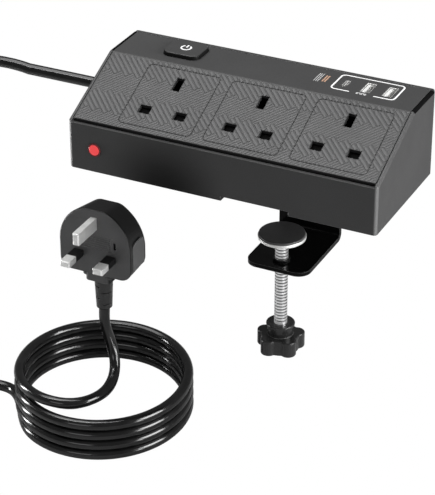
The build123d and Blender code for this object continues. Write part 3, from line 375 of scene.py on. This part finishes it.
# the white print gives off a painted glow
white_ink = moulded_plastic("white_ink", (0.80, 0.80, 0.80), (0.92, 0.92, 0.92), (0.5, 0.65), edge_wear_and_highlight=0.0,
                            painted_glow=0.35)
grey_ink = moulded_plastic("grey_ink", (0.56, 0.56, 0.56), (0.68, 0.68, 0.68), (0.5, 0.65), edge_wear_and_highlight=0.0)
orange_ink = moulded_plastic("orange_ink", (0.50, 0.30, 0.20), (0.62, 0.38, 0.26), (0.5, 0.65), edge_wear_and_highlight=0.0)
rubber = moulded_plastic("black_rubber", grey(0.030), grey(0.050), (0.30, 0.42), grain=700.0,
                         relief=0.06 * MM)
cord_sheath = glossy_sheath("cord_sheath", grey(0.004), grey(0.010), (0.12, 0.20))
boot_rubber = moulded_plastic("boot_rubber", grey(0.008), grey(0.014), (0.16, 0.26), edge_wear_and_highlight=0.12)
# the bracket's paler edges are partly wear and partly painted highlight
black_steel = moulded_plastic("black_steel", grey(0.0008), grey(0.0018), (0.12, 0.20), grain=900.0,
                              edge_wear_and_highlight=0.24, bevel=0.6 * MM, specular=0.10, speckle=0.01)
zinc = brushed_metal("bright_zinc", (0.62, 0.62, 0.64), (0.80, 0.80, 0.81))
nickel = brushed_metal("nickel_plate", (0.86, 0.86, 0.85), (0.97, 0.97, 0.96), (0.42, 0.60))
brass = brushed_metal("contact_brass", (0.60, 0.42, 0.16), (0.78, 0.58, 0.26))
thread_zinc = threaded_metal("thread_zinc", screw_x, screw_y, 3.3 * MM, 3.85 * MM)
# the red button gives off a painted glow and its sides get painted shade
red_gloss = moulded_plastic("red_gloss", (0.80, 0.035, 0.04), (0.95, 0.08, 0.085), (0.18, 0.28), edge_wear_and_highlight=0.20,
                            painted_glow=0.45, painted_shade_away_from=(0.0, -1.0, 0.0))
dark_red = moulded_plastic("dark_red", (0.16, 0.006, 0.010), (0.24, 0.012, 0.016), (0.25, 0.35), edge_wear_and_highlight=0.05)
board_green = moulded_plastic("board_green", (0.01, 0.12, 0.04), (0.02, 0.18, 0.06), (0.3, 0.5))
tape_yellow = moulded_plastic("tape_yellow", (0.65, 0.5, 0.08), (0.75, 0.6, 0.12), (0.3, 0.5), edge_wear_and_highlight=0.05)
wire_brown = glossy_sheath("wire_brown", (0.16, 0.06, 0.02), (0.24, 0.10, 0.04))
wire_blue = glossy_sheath("wire_blue", (0.03, 0.09, 0.45), (0.05, 0.14, 0.6))
wire_green = glossy_sheath("wire_green", (0.12, 0.38, 0.05), (0.2, 0.5, 0.08))
ceramic = moulded_plastic("fuse_ceramic", (0.70, 0.68, 0.6), (0.82, 0.80, 0.74), (0.3, 0.5), edge_wear_and_highlight=0.0)

finishes = {
    housing_plastic: ["casing_tray"],
    strip_plastic: ["top_cover"],
    button_plastic: ["power_button"],
    inner_plastic: ["switch_body", "cord_grip"],
    dark_plastic: ["socket_carrier_1", "socket_carrier_2", "socket_carrier_3",
                   "shutter_1", "shutter_2", "shutter_3", "overload_breaker"],
    thread_zinc: ["clamp_screw"],
    zinc: ["carrier_screws", "board_screws", "cord_grip_screws", "cover_screws",
           "bracket_screws", "switch_spring", "shutter_spring_1", "shutter_spring_2", "shutter_spring_3",
           "usb_capacitors"],
    nickel: ["pad_disc", "plug_live_pin", "plug_neutral_pin", "plug_earth_pin", "usb_c_port",
             "usb_a_port_left", "usb_a_port_right"],
    brass: ["live_busbar", "neutral_busbar", "earth_busbar"],
    red_gloss: ["reset_button"],
    dark_red: ["reset_bezel"],
    board_green: ["usb_board"],
    white_plastic: ["usb_a_tongue_left", "usb_a_tongue_right"],
    tape_yellow: ["usb_transformer"],
    wire_brown: ["live_wire"],
    wire_blue: ["neutral_wire"],
    wire_green: ["earth_wire"],
    cord_sheath: ["mains_cable"],
    boot_rubber: ["cable_strain_relief", "plug_boot"],
    plug_plastic: ["plug_body", "fuse_carrier", "pin_sleeves"],
    ceramic: ["plug_fuse"],
    black_steel: ["clamp_bracket", "thread_bush"],
    rubber: ["pad_rubber", "foot_pads"],
    knob_plastic: ["clamp_knob"],
}
for material, names in finishes.items():
    for name in names:
        mesh = nodes[name].data
        mesh.materials.clear()
        mesh.materials.append(material)


# ---------------------------------------------------------------- piece helpers
def add_piece(name, mesh, material, body):
    """Links a finished mesh as a piece of the object that rides on one CAD body."""
    mesh.materials.clear()
    mesh.materials.append(material)
    piece = bpy.data.objects.new(name, mesh)
    bpy.context.scene.collection.objects.link(piece)
    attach(piece, body)
    return piece


def bridge(built, near, far):
    """Side faces between two closed rings of vertices."""
    count = len(near)
    for i in range(count):
        j = (i + 1) % count
        built.faces.new((near[i], near[j], far[j], far[i]))


def cap_and_bridge(built, near, far):
    """A closed solid between two rings of vertices."""
    bridge(built, near, far)
    built.faces.new(near[::-1])
    built.faces.new(far)


def finished_mesh(name, built, smooth=False):
    """Turns the faces of a bmesh outward and writes it into a new mesh."""
    bmesh.ops.recalc_face_normals(built, faces=built.faces)
    for face in built.faces:
        face.smooth = smooth
    mesh = bpy.data.meshes.new(name)
    built.to_mesh(mesh)
    built.free()
    return mesh


def prism_mesh(name, outline, place, height):
    """A closed prism over a flat outline; place turns (u, v, lift) into a point of the frame."""
    built = bmesh.new()
    low = [built.verts.new(place(u, v, 0.0)) for u, v in outline]
    high = [built.verts.new(place(u, v, height)) for u, v in outline]
    cap_and_bridge(built, low, high)
    return finished_mesh(name, built)


def stroke(points, width):
    """The closed outline of a line of constant width, mitred at its corners."""
    left, right = [], []
    for i, point in enumerate(points):
        here = Vector(point)
        step_in = here - Vector(points[max(i - 1, 0)])
        step_out = Vector(points[min(i + 1, len(points) - 1)]) - here
        if step_in.length == 0:
            step_in = step_out
        if step_out.length == 0:
            step_out = step_in
        way = (step_in.normalized() + step_out.normalized()).normalized()
        across = Vector((-way.y, way.x))
        mitre = 1.0 / max(0.5, across.dot(Vector((-step_in.y, step_in.x)).normalized()))
        offset = across * (width / 2 * mitre)
        left.append(here + offset)
        right.append(here - offset)
    return left + right[::-1]


def ribbon_mesh(name, lines, place, height):
    """Raised printed lines; lines is a list of (points, width)."""
    built = bmesh.new()
    for points, width in lines:
        loop = stroke(points, width)
        low = [built.verts.new(place(u, v, 0.0)) for u, v in loop]
        high = [built.verts.new(place(u, v, height)) for u, v in loop]
        total = len(loop)
        for i in range(len(points) - 1):
            a, b, c, d = i, i + 1, total - 2 - i, total - 1 - i
            built.faces.new((high[a], high[b], high[c], high[d]))
            built.faces.new((low[d], low[c], low[b], low[a]))
        bridge(built, low, high)
    return finished_mesh(name, built)


def ring_mesh(name, centre, profile, turns=64):
    """A closed ring swept round a vertical axis; profile is a closed list of (radius, z)."""
    built = bmesh.new()
    rings = []
    for k in range(turns):
        angle = tau * k / turns
        rings.append([built.verts.new((centre.x + radius * cos(angle), centre.y + radius * sin(angle), z))
                      for radius, z in profile])
    for near, far in zip(rings, rings[1:] + rings[:1]):
        bridge(built, near, far)
    return finished_mesh(name, built)


def spring_mesh(name, base, up, length, coil_radius, wire_radius, turns, steps=20, sides=8):
    """A wound wire from base along up, closed at both ends."""
    across = up.orthogonal().normalized()
    depth = up.cross(across)
    built = bmesh.new()
    total = turns * steps
    rings = []
    for k in range(total + 1):
        angle = tau * k / steps
        outward = across * cos(angle) + depth * sin(angle)
        climb = wire_radius + (length - 2 * wire_radius) * k / total
        middle = base + outward * coil_radius + up * climb
        ring = []
        for i in range(sides):
            turned = tau * i / sides
            ring.append(built.verts.new(middle + (outward * cos(turned) + up * sin(turned)) * wire_radius))
        rings.append(ring)
    for near, far in zip(rings, rings[1:]):
        bridge(built, near, far)
    built.faces.new(rings[0][::-1])
    built.faces.new(rings[-1])
    return finished_mesh(name, built, smooth=True)


def arc(centre, radius, start, end, steps=24):
    """Points on an arc, angles in degrees."""
    angles = [radians(start + (end - start) * k / steps) for k in range(steps + 1)]
    return [(centre[0] + radius * cos(a), centre[1] + radius * sin(a)) for a in angles]


def rounded_box(middle, half_u, half_v, top_radius, bottom_radius, steps):
    """The outline of a rectangle with rounded corners."""
    points = []
    for right, up, start in ((1, 1, 0), (-1, 1, 90), (-1, -1, 180), (1, -1, 270)):
        radius = top_radius if up > 0 else bottom_radius
        centre = (middle[0] + right * (half_u - radius), middle[1] + up * (half_v - radius))
        points += arc(centre, radius, start, start + 90, steps)
    return points


# ---------------------------------------------------------------- ridged texture on the sloping face
plank_width = 5.2 * MM
plank_ratio = 4
plank_gap = 0.04
bold_ridges = 2
fine_ridges = 3
ridge_share = 0.84
bold_height = 0.19 * MM
fine_height = 0.15 * MM
shortest_ridge = 0.6 * MM
texture_margin = 15 * MM
# the section of a ridge as (share of its width, share of its height), foot to crest to foot
ridge_profile = [(-0.5, -0.06), (-0.36, 0.7), (-0.1, 1.0), (0.1, 1.0), (0.36, 0.7), (0.5, -0.06)]
outline_half = 23.1 * MM
outline_middle_s = 29.25 * MM
outline_radius = 3.0 * MM
outline_shift = 0.2 * MM
outline_clearance = 0.5 * MM
pin_clear_x, pin_clear_s = 4.1 * MM, 3.4 * MM
earth_clear_x, earth_clear_s = 2.9 * MM, 5.3 * MM
texture_low_s = 3.1 * MM
texture_high_s = slope_length - 0.9 * MM
texture_half_x = cover_high.x - 0.9 * MM
sample_step = 0.2 * MM


def is_clear(x, s):
    """True where a ridge may stand: on the face, off the pin slots and off the thin outlines."""
    if not (texture_low_s < s < texture_high_s and abs(x) < texture_half_x):
        return False
    for socket_x in socket_xs:
        dx, ds = x - socket_x, s - outline_middle_s
        if abs(dx) > outline_half + 1.0 * MM:
            continue
        if abs(abs(dx) - pin_half_spacing) < pin_clear_x and abs(s - pin_row_s) < pin_clear_s:
            return False
        if abs(dx) < earth_clear_x and abs(s - earth_s) < earth_clear_s:
            return False
        corner = outline_half - outline_radius
        qx, qs = abs(dx) - corner, abs(ds) - corner
        outside = hypot(max(qx, 0.0), max(qs, 0.0)) + min(max(qx, qs), 0.0) - outline_radius
        if abs(outside + outline_shift) < outline_clearance:
            return False
    return True


def clear_stretches(start, way, length):
    """The stretches of a ridge's centre line that stand clear, as pairs of distances along it."""
    steps = max(2, ceil(length / sample_step))
    found, opened = [], None
    for k in range(steps + 1):
        distance = length * k / steps
        ok = is_clear(start[0] + way[0] * distance, start[1] + way[1] * distance)
        if ok and opened is None:
            opened = distance
        if (not ok or k == steps) and opened is not None:
            if distance - opened > shortest_ridge:
                found.append((opened, distance))
            opened = None
    return found


def herringbone():
    """Start, end, width and height of every ridge of the herringbone planks, laid at 45 degrees."""
    diagonal = cos(pi / 4)
    reach = int((2 * texture_half_x + slope_length) / plank_width)
    for n in range(-reach, reach + 1):
        for m in range(-reach // plank_ratio, reach // plank_ratio + 1):
            for upright in (False, True):
                shift = plank_ratio * m
                u0, v0 = (n - 1 - shift, n + shift) if upright else (n - shift, n + shift)
                count = bold_ridges if upright else fine_ridges
                height = bold_height if upright else fine_height
                for k in range(count):
                    side = (k + 0.5) / count
                    ends = []
                    for along in (plank_gap, plank_ratio - plank_gap):
                        u, v = (u0 + side, v0 + along) if upright else (u0 + along, v0 + side)
                        x = (u + v) * diagonal * plank_width
                        s = (u - v) * diagonal * plank_width + slope_length / 2
                        ends.append((x, s))
                    yield ends[0], ends[1], ridge_share * plank_width / count, height


def ridge_mesh():
    """Fine rounded ridges over the whole face, broken where a slot or an outline runs."""
    built = bmesh.new()
    for start, end, width, height in herringbone():
        if min(start[1], end[1]) > texture_high_s or max(start[1], end[1]) < texture_low_s:
            continue
        if min(abs(start[0]), abs(end[0])) > texture_half_x + texture_margin:
            continue
        length = hypot(end[0] - start[0], end[1] - start[1])
        way = ((end[0] - start[0]) / length, (end[1] - start[1]) / length)
        for stretch in clear_stretches(start, way, length):
            rings = []
            for distance in stretch:
                x = start[0] + way[0] * distance
                s = start[1] + way[1] * distance
                ring = []
                for across, lift in ridge_profile:
                    offset = across * width
                    spot = on_slope(x - way[1] * offset, s + way[0] * offset, lift * height)
                    ring.append(built.verts.new(spot))
                rings.append(ring)
            cap_and_bridge(built, *rings)
    return finished_mesh("cover_ridges", built)


add_piece("cover_ridges", ridge_mesh(), ridge_plastic, "housing")


# ---------------------------------------------------------------- printed marks on the strip and the button
ink_height = 0.05 * MM


def on_strip(x, y, lift):
    return Vector((x, y, strip_z + lift))


def on_button(x, y, lift):
    return Vector((x, y, button_high.z + lift))


def add_print(name, lines, place, ink, body):
    add_piece(name, ribbon_mesh(name, lines, place, ink_height), ink, body)


def level_line(x, y, half_length, width):
    return [(x - half_length, y), (x + half_length, y)], width


def upright_line(x, y_low, y_high, width):
    return [(x, y_low), (x, y_high)], width


# the outline round the USB ports, open at the front where the direct-current mark stands
box_left, box_right = usb_c_low.x - 4.3 * MM, usb_right_high.x + 2.7 * MM
box_front, box_rear = usb_left_low.y - 2.9 * MM, usb_left_high.y + 3.5 * MM
gap_left, gap_right = usb_c_high.x + 4.0 * MM, usb_left_high.x + 3.8 * MM
bend = 2.6 * MM
around = [(gap_right, box_front)]
around += arc((box_right - bend, box_front + bend), bend, -90, 0, 8)
around += arc((box_right - bend, box_rear - bend), bend, 0, 90, 8)
around += arc((box_left + bend, box_rear - bend), bend, 90, 180, 8)
around += arc((box_left + bend, box_front + bend), bend, 180, 270, 8)
around += [(gap_left, box_front)]
usb_lines = [(around, 0.95 * MM)]

# direct-current mark in the gap: a solid line over three dashes
mark_x = (gap_left + gap_right) / 2
mark_width = 0.5 * MM
usb_lines.append(level_line(mark_x, box_front + 0.5 * MM, 3.0 * MM, mark_width))
for k in (-1, 0, 1):
    usb_lines.append(level_line(mark_x + k * 2.3 * MM, box_front - 0.6 * MM, 0.7 * MM, mark_width))
add_print("usb_outline_print", usb_lines, on_strip, white_ink, "housing")

# the two unreadable labels beside the ports, kept as plain bars
label_x, label_y = 29.8 * MM, 28.0 * MM
orange_x = label_x + 3.6 * MM
grey_bars = [upright_line(label_x + k * 1.2 * MM, label_y - 5.4 * MM, label_y + 5.4 * MM, 0.5 * MM)
             for k in (-1, 0, 1)]
orange_bars = [upright_line(orange_x + k * 1.5 * MM, label_y - 4.4 * MM, label_y + 4.2 * MM, 0.9 * MM)
               for k in (0, 1)]
add_print("label_grey_print", grey_bars, on_strip, grey_ink, "housing")
add_print("label_orange_print", orange_bars, on_strip, orange_ink, "housing")

# the power symbol: an open ring with an upright bar in its gap
button_x = (button_low.x + button_high.x) / 2
button_y = (button_low.y + button_high.y) / 2
symbol_radius = 2.9 * MM
symbol_width = 1.0 * MM
symbol = [
    (arc((button_x, button_y), symbol_radius, 125, 415, 36), symbol_width),
    upright_line(button_x, button_y + 0.4 * MM, button_y + symbol_radius + 0.9 * MM, symbol_width),
]
add_print("power_symbol_print", symbol, on_button, white_ink, "power_button")


# ---------------------------------------------------------------- small parts the CAD leaves plain
# seams and rolled flanges round the hub under the pad
disc_low, disc_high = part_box("pad_disc")
screw_axis = (disc_low + disc_high) / 2
hub_radius = 5.4 * MM
hub_top = disc_high.z - 2.0 * MM
sunk_radius = hub_radius - 0.2 * MM
seam_radius = hub_radius + 0.04 * MM
seam_height = 0.8 * MM
flange_rise = 0.45 * MM
for number, drop in enumerate((0.1 * MM, 2.4 * MM), 1):
    top = hub_top - drop
    seam = [(sunk_radius, top), (seam_radius, top), (seam_radius, top - seam_height),
            (sunk_radius, top - seam_height)]
    add_piece(f"pad_hub_seam_{number}", ring_mesh("pad_hub_seam", screw_axis, seam), dark_plastic, "pad")
for number, drop in enumerate((1.0 * MM, 3.4 * MM), 1):
    top = hub_top - drop
    slope_radius, rim_radius = hub_radius + flange_rise / 2, hub_radius + flange_rise
    flange = [(sunk_radius, top), (slope_radius, top - 0.15 * MM), (rim_radius, top - 0.5 * MM),
              (rim_radius, top - 0.8 * MM), (slope_radius, top - 1.15 * MM), (sunk_radius, top - 1.3 * MM)]
    add_piece(f"pad_hub_flange_{number}", ring_mesh("pad_hub_flange", screw_axis, flange), zinc, "pad")

# painted shade: dark matte bars over the bevelled shoulders beside the flat strip, where the gap lies in
# shade
# its section as (distance in from the end wall, distance down from the strip)
shade_bar_section = [(-0.05 * MM, 1.25 * MM), (-0.02 * MM, 0.9 * MM), (0.5 * MM, 0.3 * MM), (1.2 * MM, -0.06 * MM),
                (2.0 * MM, -0.06 * MM), (2.0 * MM, 0.4 * MM), (1.0 * MM, 1.25 * MM)]
shade_bar_rear, shade_bar_front = tray_high.y - 2.4 * MM, crest_y + 0.4 * MM


def shade_bar_mesh(wall_x, side):
    """A dark bar of painted shade along one shoulder; side is 1 at the right end and -1 at the left."""
    def along_shoulder(inward, down, lift):
        return Vector((wall_x - side * inward, shade_bar_front + lift, strip_z - down))

    return prism_mesh("shoulder_shade_bar", shade_bar_section, along_shoulder, shade_bar_rear - shade_bar_front)


add_piece("shoulder_shade_bar_left", shade_bar_mesh(tray_low.x, -1), dark_plastic, "housing")
add_piece("shoulder_shade_bar_right", shade_bar_mesh(tray_high.x, 1), dark_plastic, "housing")

# smooth grip panels in the recesses on both sides of the plug
plug_middle_y = (plug_low.y + plug_high.y) / 2
pin_row_z = (sleeves_low.z + sleeves_high.z) / 2
grip_low, grip_high = pin_row_z - 7.3 * MM, pin_row_z + 11.3 * MM
grip_outline = rounded_box((plug_middle_y, (grip_low + grip_high) / 2), 7.3 * MM, (grip_high - grip_low) / 2,
                           4.0 * MM, 1.0 * MM, 6)
grip_depth = 0.75 * MM
grip_thickness = 0.7 * MM


def grip_mesh(side_x, side):
    """A panel sunk in one side of the plug; side is 1 at the right and -1 at the left."""
    def on_side(y, z, lift):
        return Vector((side_x - side * (grip_depth - lift), y, z))

    return prism_mesh("plug_grip", grip_outline, on_side, grip_thickness)


add_piece("plug_grip_left", grip_mesh(plug_low.x, -1), grip_plastic, "housing")
add_piece("plug_grip_right", grip_mesh(plug_high.x, 1), grip_plastic, "housing")

# low ribs across the face of the fuse carrier
carrier_low, carrier_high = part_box("fuse_carrier")
carrier_x = (carrier_low.x + carrier_high.x) / 2
carrier_z = (carrier_low.z + carrier_high.z) / 2
rib_half, rib_pitch, rib_width, rib_height = 10.5 * MM, 1.5 * MM, 0.55 * MM, 0.16 * MM


def on_carrier(x, z, lift):
    return Vector((x, carrier_low.y - lift, z))


rib_lines = [level_line(carrier_x, carrier_z + k * rib_pitch, rib_half, rib_width) for k in range(-2, 3)]
add_piece("fuse_carrier_ribs", ribbon_mesh("fuse_carrier_ribs", rib_lines, on_carrier, rib_height),
          plug_plastic, "fuse_drawer")

# stepped ledges where the neck meets the plug, each smaller than the one above
boot_low, boot_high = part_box("plug_boot")
boot_x = (boot_low.x + boot_high.x) / 2
heel_z = pin_row_z - 13.4 * MM
neck_height = heel_z - plug_low.z
ledge_count = 3
ledge_pitch = neck_height / ledge_count
ledge_height = 0.72 * ledge_pitch
ledge_corner = 3.0 * MM
ledge_edge = 0.25 * MM


def ledges_mesh():
    """Rounded slabs round the neck with softened upper and lower edges."""
    built = bmesh.new()
    for k in range(ledge_count):
        outline = rounded_box((boot_x, plug_middle_y), (12.6 - 1.7 * k) * MM, (8.4 - 0.5 * k) * MM,
                              ledge_corner, ledge_corner, 5)
        top_z = heel_z + 0.02 * neck_height - k * ledge_pitch
        low = [built.verts.new((x, y, top_z - ledge_height)) for x, y in outline]
        high = [built.verts.new((x, y, top_z)) for x, y in outline]
        cap_and_bridge(built, low, high)
    bmesh.ops.recalc_face_normals(built, faces=built.faces)
    level_edges = [edge for edge in built.edges if abs(edge.verts[0].co.z - edge.verts[1].co.z) < 1e-6]
    bmesh.ops.bevel(built, geom=level_edges, offset=ledge_edge, segments=2, profile=0.5, affect="EDGES")
    return finished_mesh("neck_ledges", built)


add_piece("plug_neck_ledges", ledges_mesh(), plug_plastic, "housing")


def add_spring(node, base, up, length, coil_radius, wire_radius, turns):
    """A coil that stands in for a CAD spring, which it hides; the coil gets a mesh of its own."""
    name = node + "_coil"
    mesh = spring_mesh(name, base, up, length, coil_radius, wire_radius, turns)
    coil = add_piece(name, mesh, zinc, "housing")
    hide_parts(node)
    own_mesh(coil)


switch_low, switch_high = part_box("switch_spring")
switch_middle = (switch_low + switch_high) / 2
switch_wire = 0.35 * MM
add_spring("switch_spring", Vector((switch_middle.x, switch_middle.y, switch_low.z)),
           Vector((0, 0, 1)), switch_high.z - switch_low.z,
           (switch_high.x - switch_low.x) / 2 - switch_wire, switch_wire, 5)

up_slope = Vector((0, cos(slope_angle), sin(slope_angle)))
shutter_spring_s, shutter_spring_depth = 8.6 * MM, 7.2 * MM
shutter_spring_length = pin_row_s + 0.35 * MM - shutter_spring_s
for number, socket_x in enumerate(socket_xs, 1):
    add_spring(f"shutter_spring_{number}",
               on_slope(socket_x, shutter_spring_s, -shutter_spring_depth), up_slope, shutter_spring_length,
               1.3 * MM, 0.2 * MM, 6)

# ---------------------------------------------------------------- floor, light and camera
floor_z = cord_low.z - 0.2 * MM
floor_half = 6.0
floor_mesh = bpy.data.meshes.new("floor")
floor_corners = [(x * floor_half, y * floor_half, floor_z)
                 for x, y in ((-1, -1), (1, -1), (1, 1), (-1, 1))]
floor_mesh.from_pydata(floor_corners, [], [(0, 1, 2, 3)])
floor = bpy.data.objects.new("floor", floor_mesh)
bpy.context.scene.collection.objects.link(floor)

# grey to the light that bounces off it, and plain white to the camera
floor_shader = Shader("pale_floor")
camera_glow = floor_shader.node("ShaderNodeEmission")
ray_kind = floor_shader.node("ShaderNodeLightPath")
chooser = floor_shader.node("ShaderNodeMixShader")
floor_greys = [(0.3, (0.34, 0.34, 0.34)), (0.7, (0.40, 0.40, 0.40))]
cloudy = floor_shader.ramp(floor_shader.noise(3.0, 4.0), floor_greys)
floor_shader.link(cloudy, floor_shader.surface.inputs["Base Color"])
floor_shader.finish(0.9, 0.1)
floor_shader.link(ray_kind.outputs["Is Camera Ray"], chooser.inputs["Fac"])
floor_shader.link(floor_shader.surface.outputs[0], chooser.inputs[1])
floor_shader.link(camera_glow.outputs[0], chooser.inputs[2])
floor_shader.link(chooser.outputs[0], floor_shader.tree.nodes["Material Output"].inputs["Surface"])
floor_mesh.materials.append(floor_shader.material)

# a white sky to the camera that gives the object only a weak fill
world = bpy.data.worlds.new("studio")
bpy.context.scene.world = world
world.use_nodes = True
sky = world.node_tree
background = sky.nodes["Background"]
sky_path = sky.nodes.new("ShaderNodeLightPath")
level = sky.nodes.new("ShaderNodeMapRange")
level.inputs["To Min"].default_value = 0.16
level.inputs["To Max"].default_value = 1.0
sky.links.new(sky_path.outputs["Is Camera Ray"], level.inputs["Value"])
sky.links.new(level.outputs["Result"], background.inputs["Strength"])
background.inputs["Color"].default_value = (1, 1, 1, 1)


def softbox(name, place, size, power, aim=(0.0, 0.0, 0.0)):
    """A rectangular light at a place in metres that looks at aim and stays unseen by the camera."""
    light = bpy.data.lights.new(name, "AREA")
    light.shape = "RECTANGLE"
    light.size, light.size_y = size
    light.energy = power
    made = bpy.data.objects.new(name, light)
    made.location = place
    made.rotation_mode = "QUATERNION"
    made.rotation_quaternion = (Vector(aim) - Vector(place)).to_track_quat("-Z", "Y")
    made.visible_camera = False
    bpy.context.scene.collection.objects.link(made)
    return made


softbox("key_right", (1.4, -0.02, 0.45), (0.8, 0.8), 28.0)
softbox("overhead", (-0.5, 0.15, 1.25), (1.0, 1.0), 10.5)
softbox("front_fill", (-0.2, -1.5, 0.4), (0.8, 0.5), 2.0)
softbox("edge_strip_right", (0.36, -0.18, -0.11), (0.05, 0.16), 0.30, (0.05, -0.03, -0.06))
softbox("edge_strip_left", (-0.36, -0.07, -0.10), (0.03, 0.14), 0.45, (-0.09, -0.04, 0.02))
softbox("cord_strip", (-0.20, -0.10, 0.70), (0.04, 0.9), 2.2, (-0.05, -0.05, -0.10))

# the photo's viewpoint, turned about a place near the middle of the picture
camera_data = bpy.data.cameras.new("camera")
camera = bpy.data.objects.new("camera", camera_data)
bpy.context.scene.collection.objects.link(camera)
bpy.context.scene.camera = camera
azimuth, elevation, distance = radians(25.934), radians(29.471), 1.1864
target = Vector((5.29, -53.73, -22.81)) * MM
backward = Vector((sin(azimuth) * cos(elevation), -cos(azimuth) * cos(elevation), sin(elevation)))
camera.location = target + backward * distance
camera.rotation_mode = "QUATERNION"
camera.rotation_quaternion = (-backward).to_track_quat("-Z", "Y")
camera_data.sensor_width = 36.0
camera_data.lens = 153.89
camera_data.clip_start = 0.05
camera_data.clip_end = 30.0
bpy.context.scene.view_settings.view_transform = "Standard"
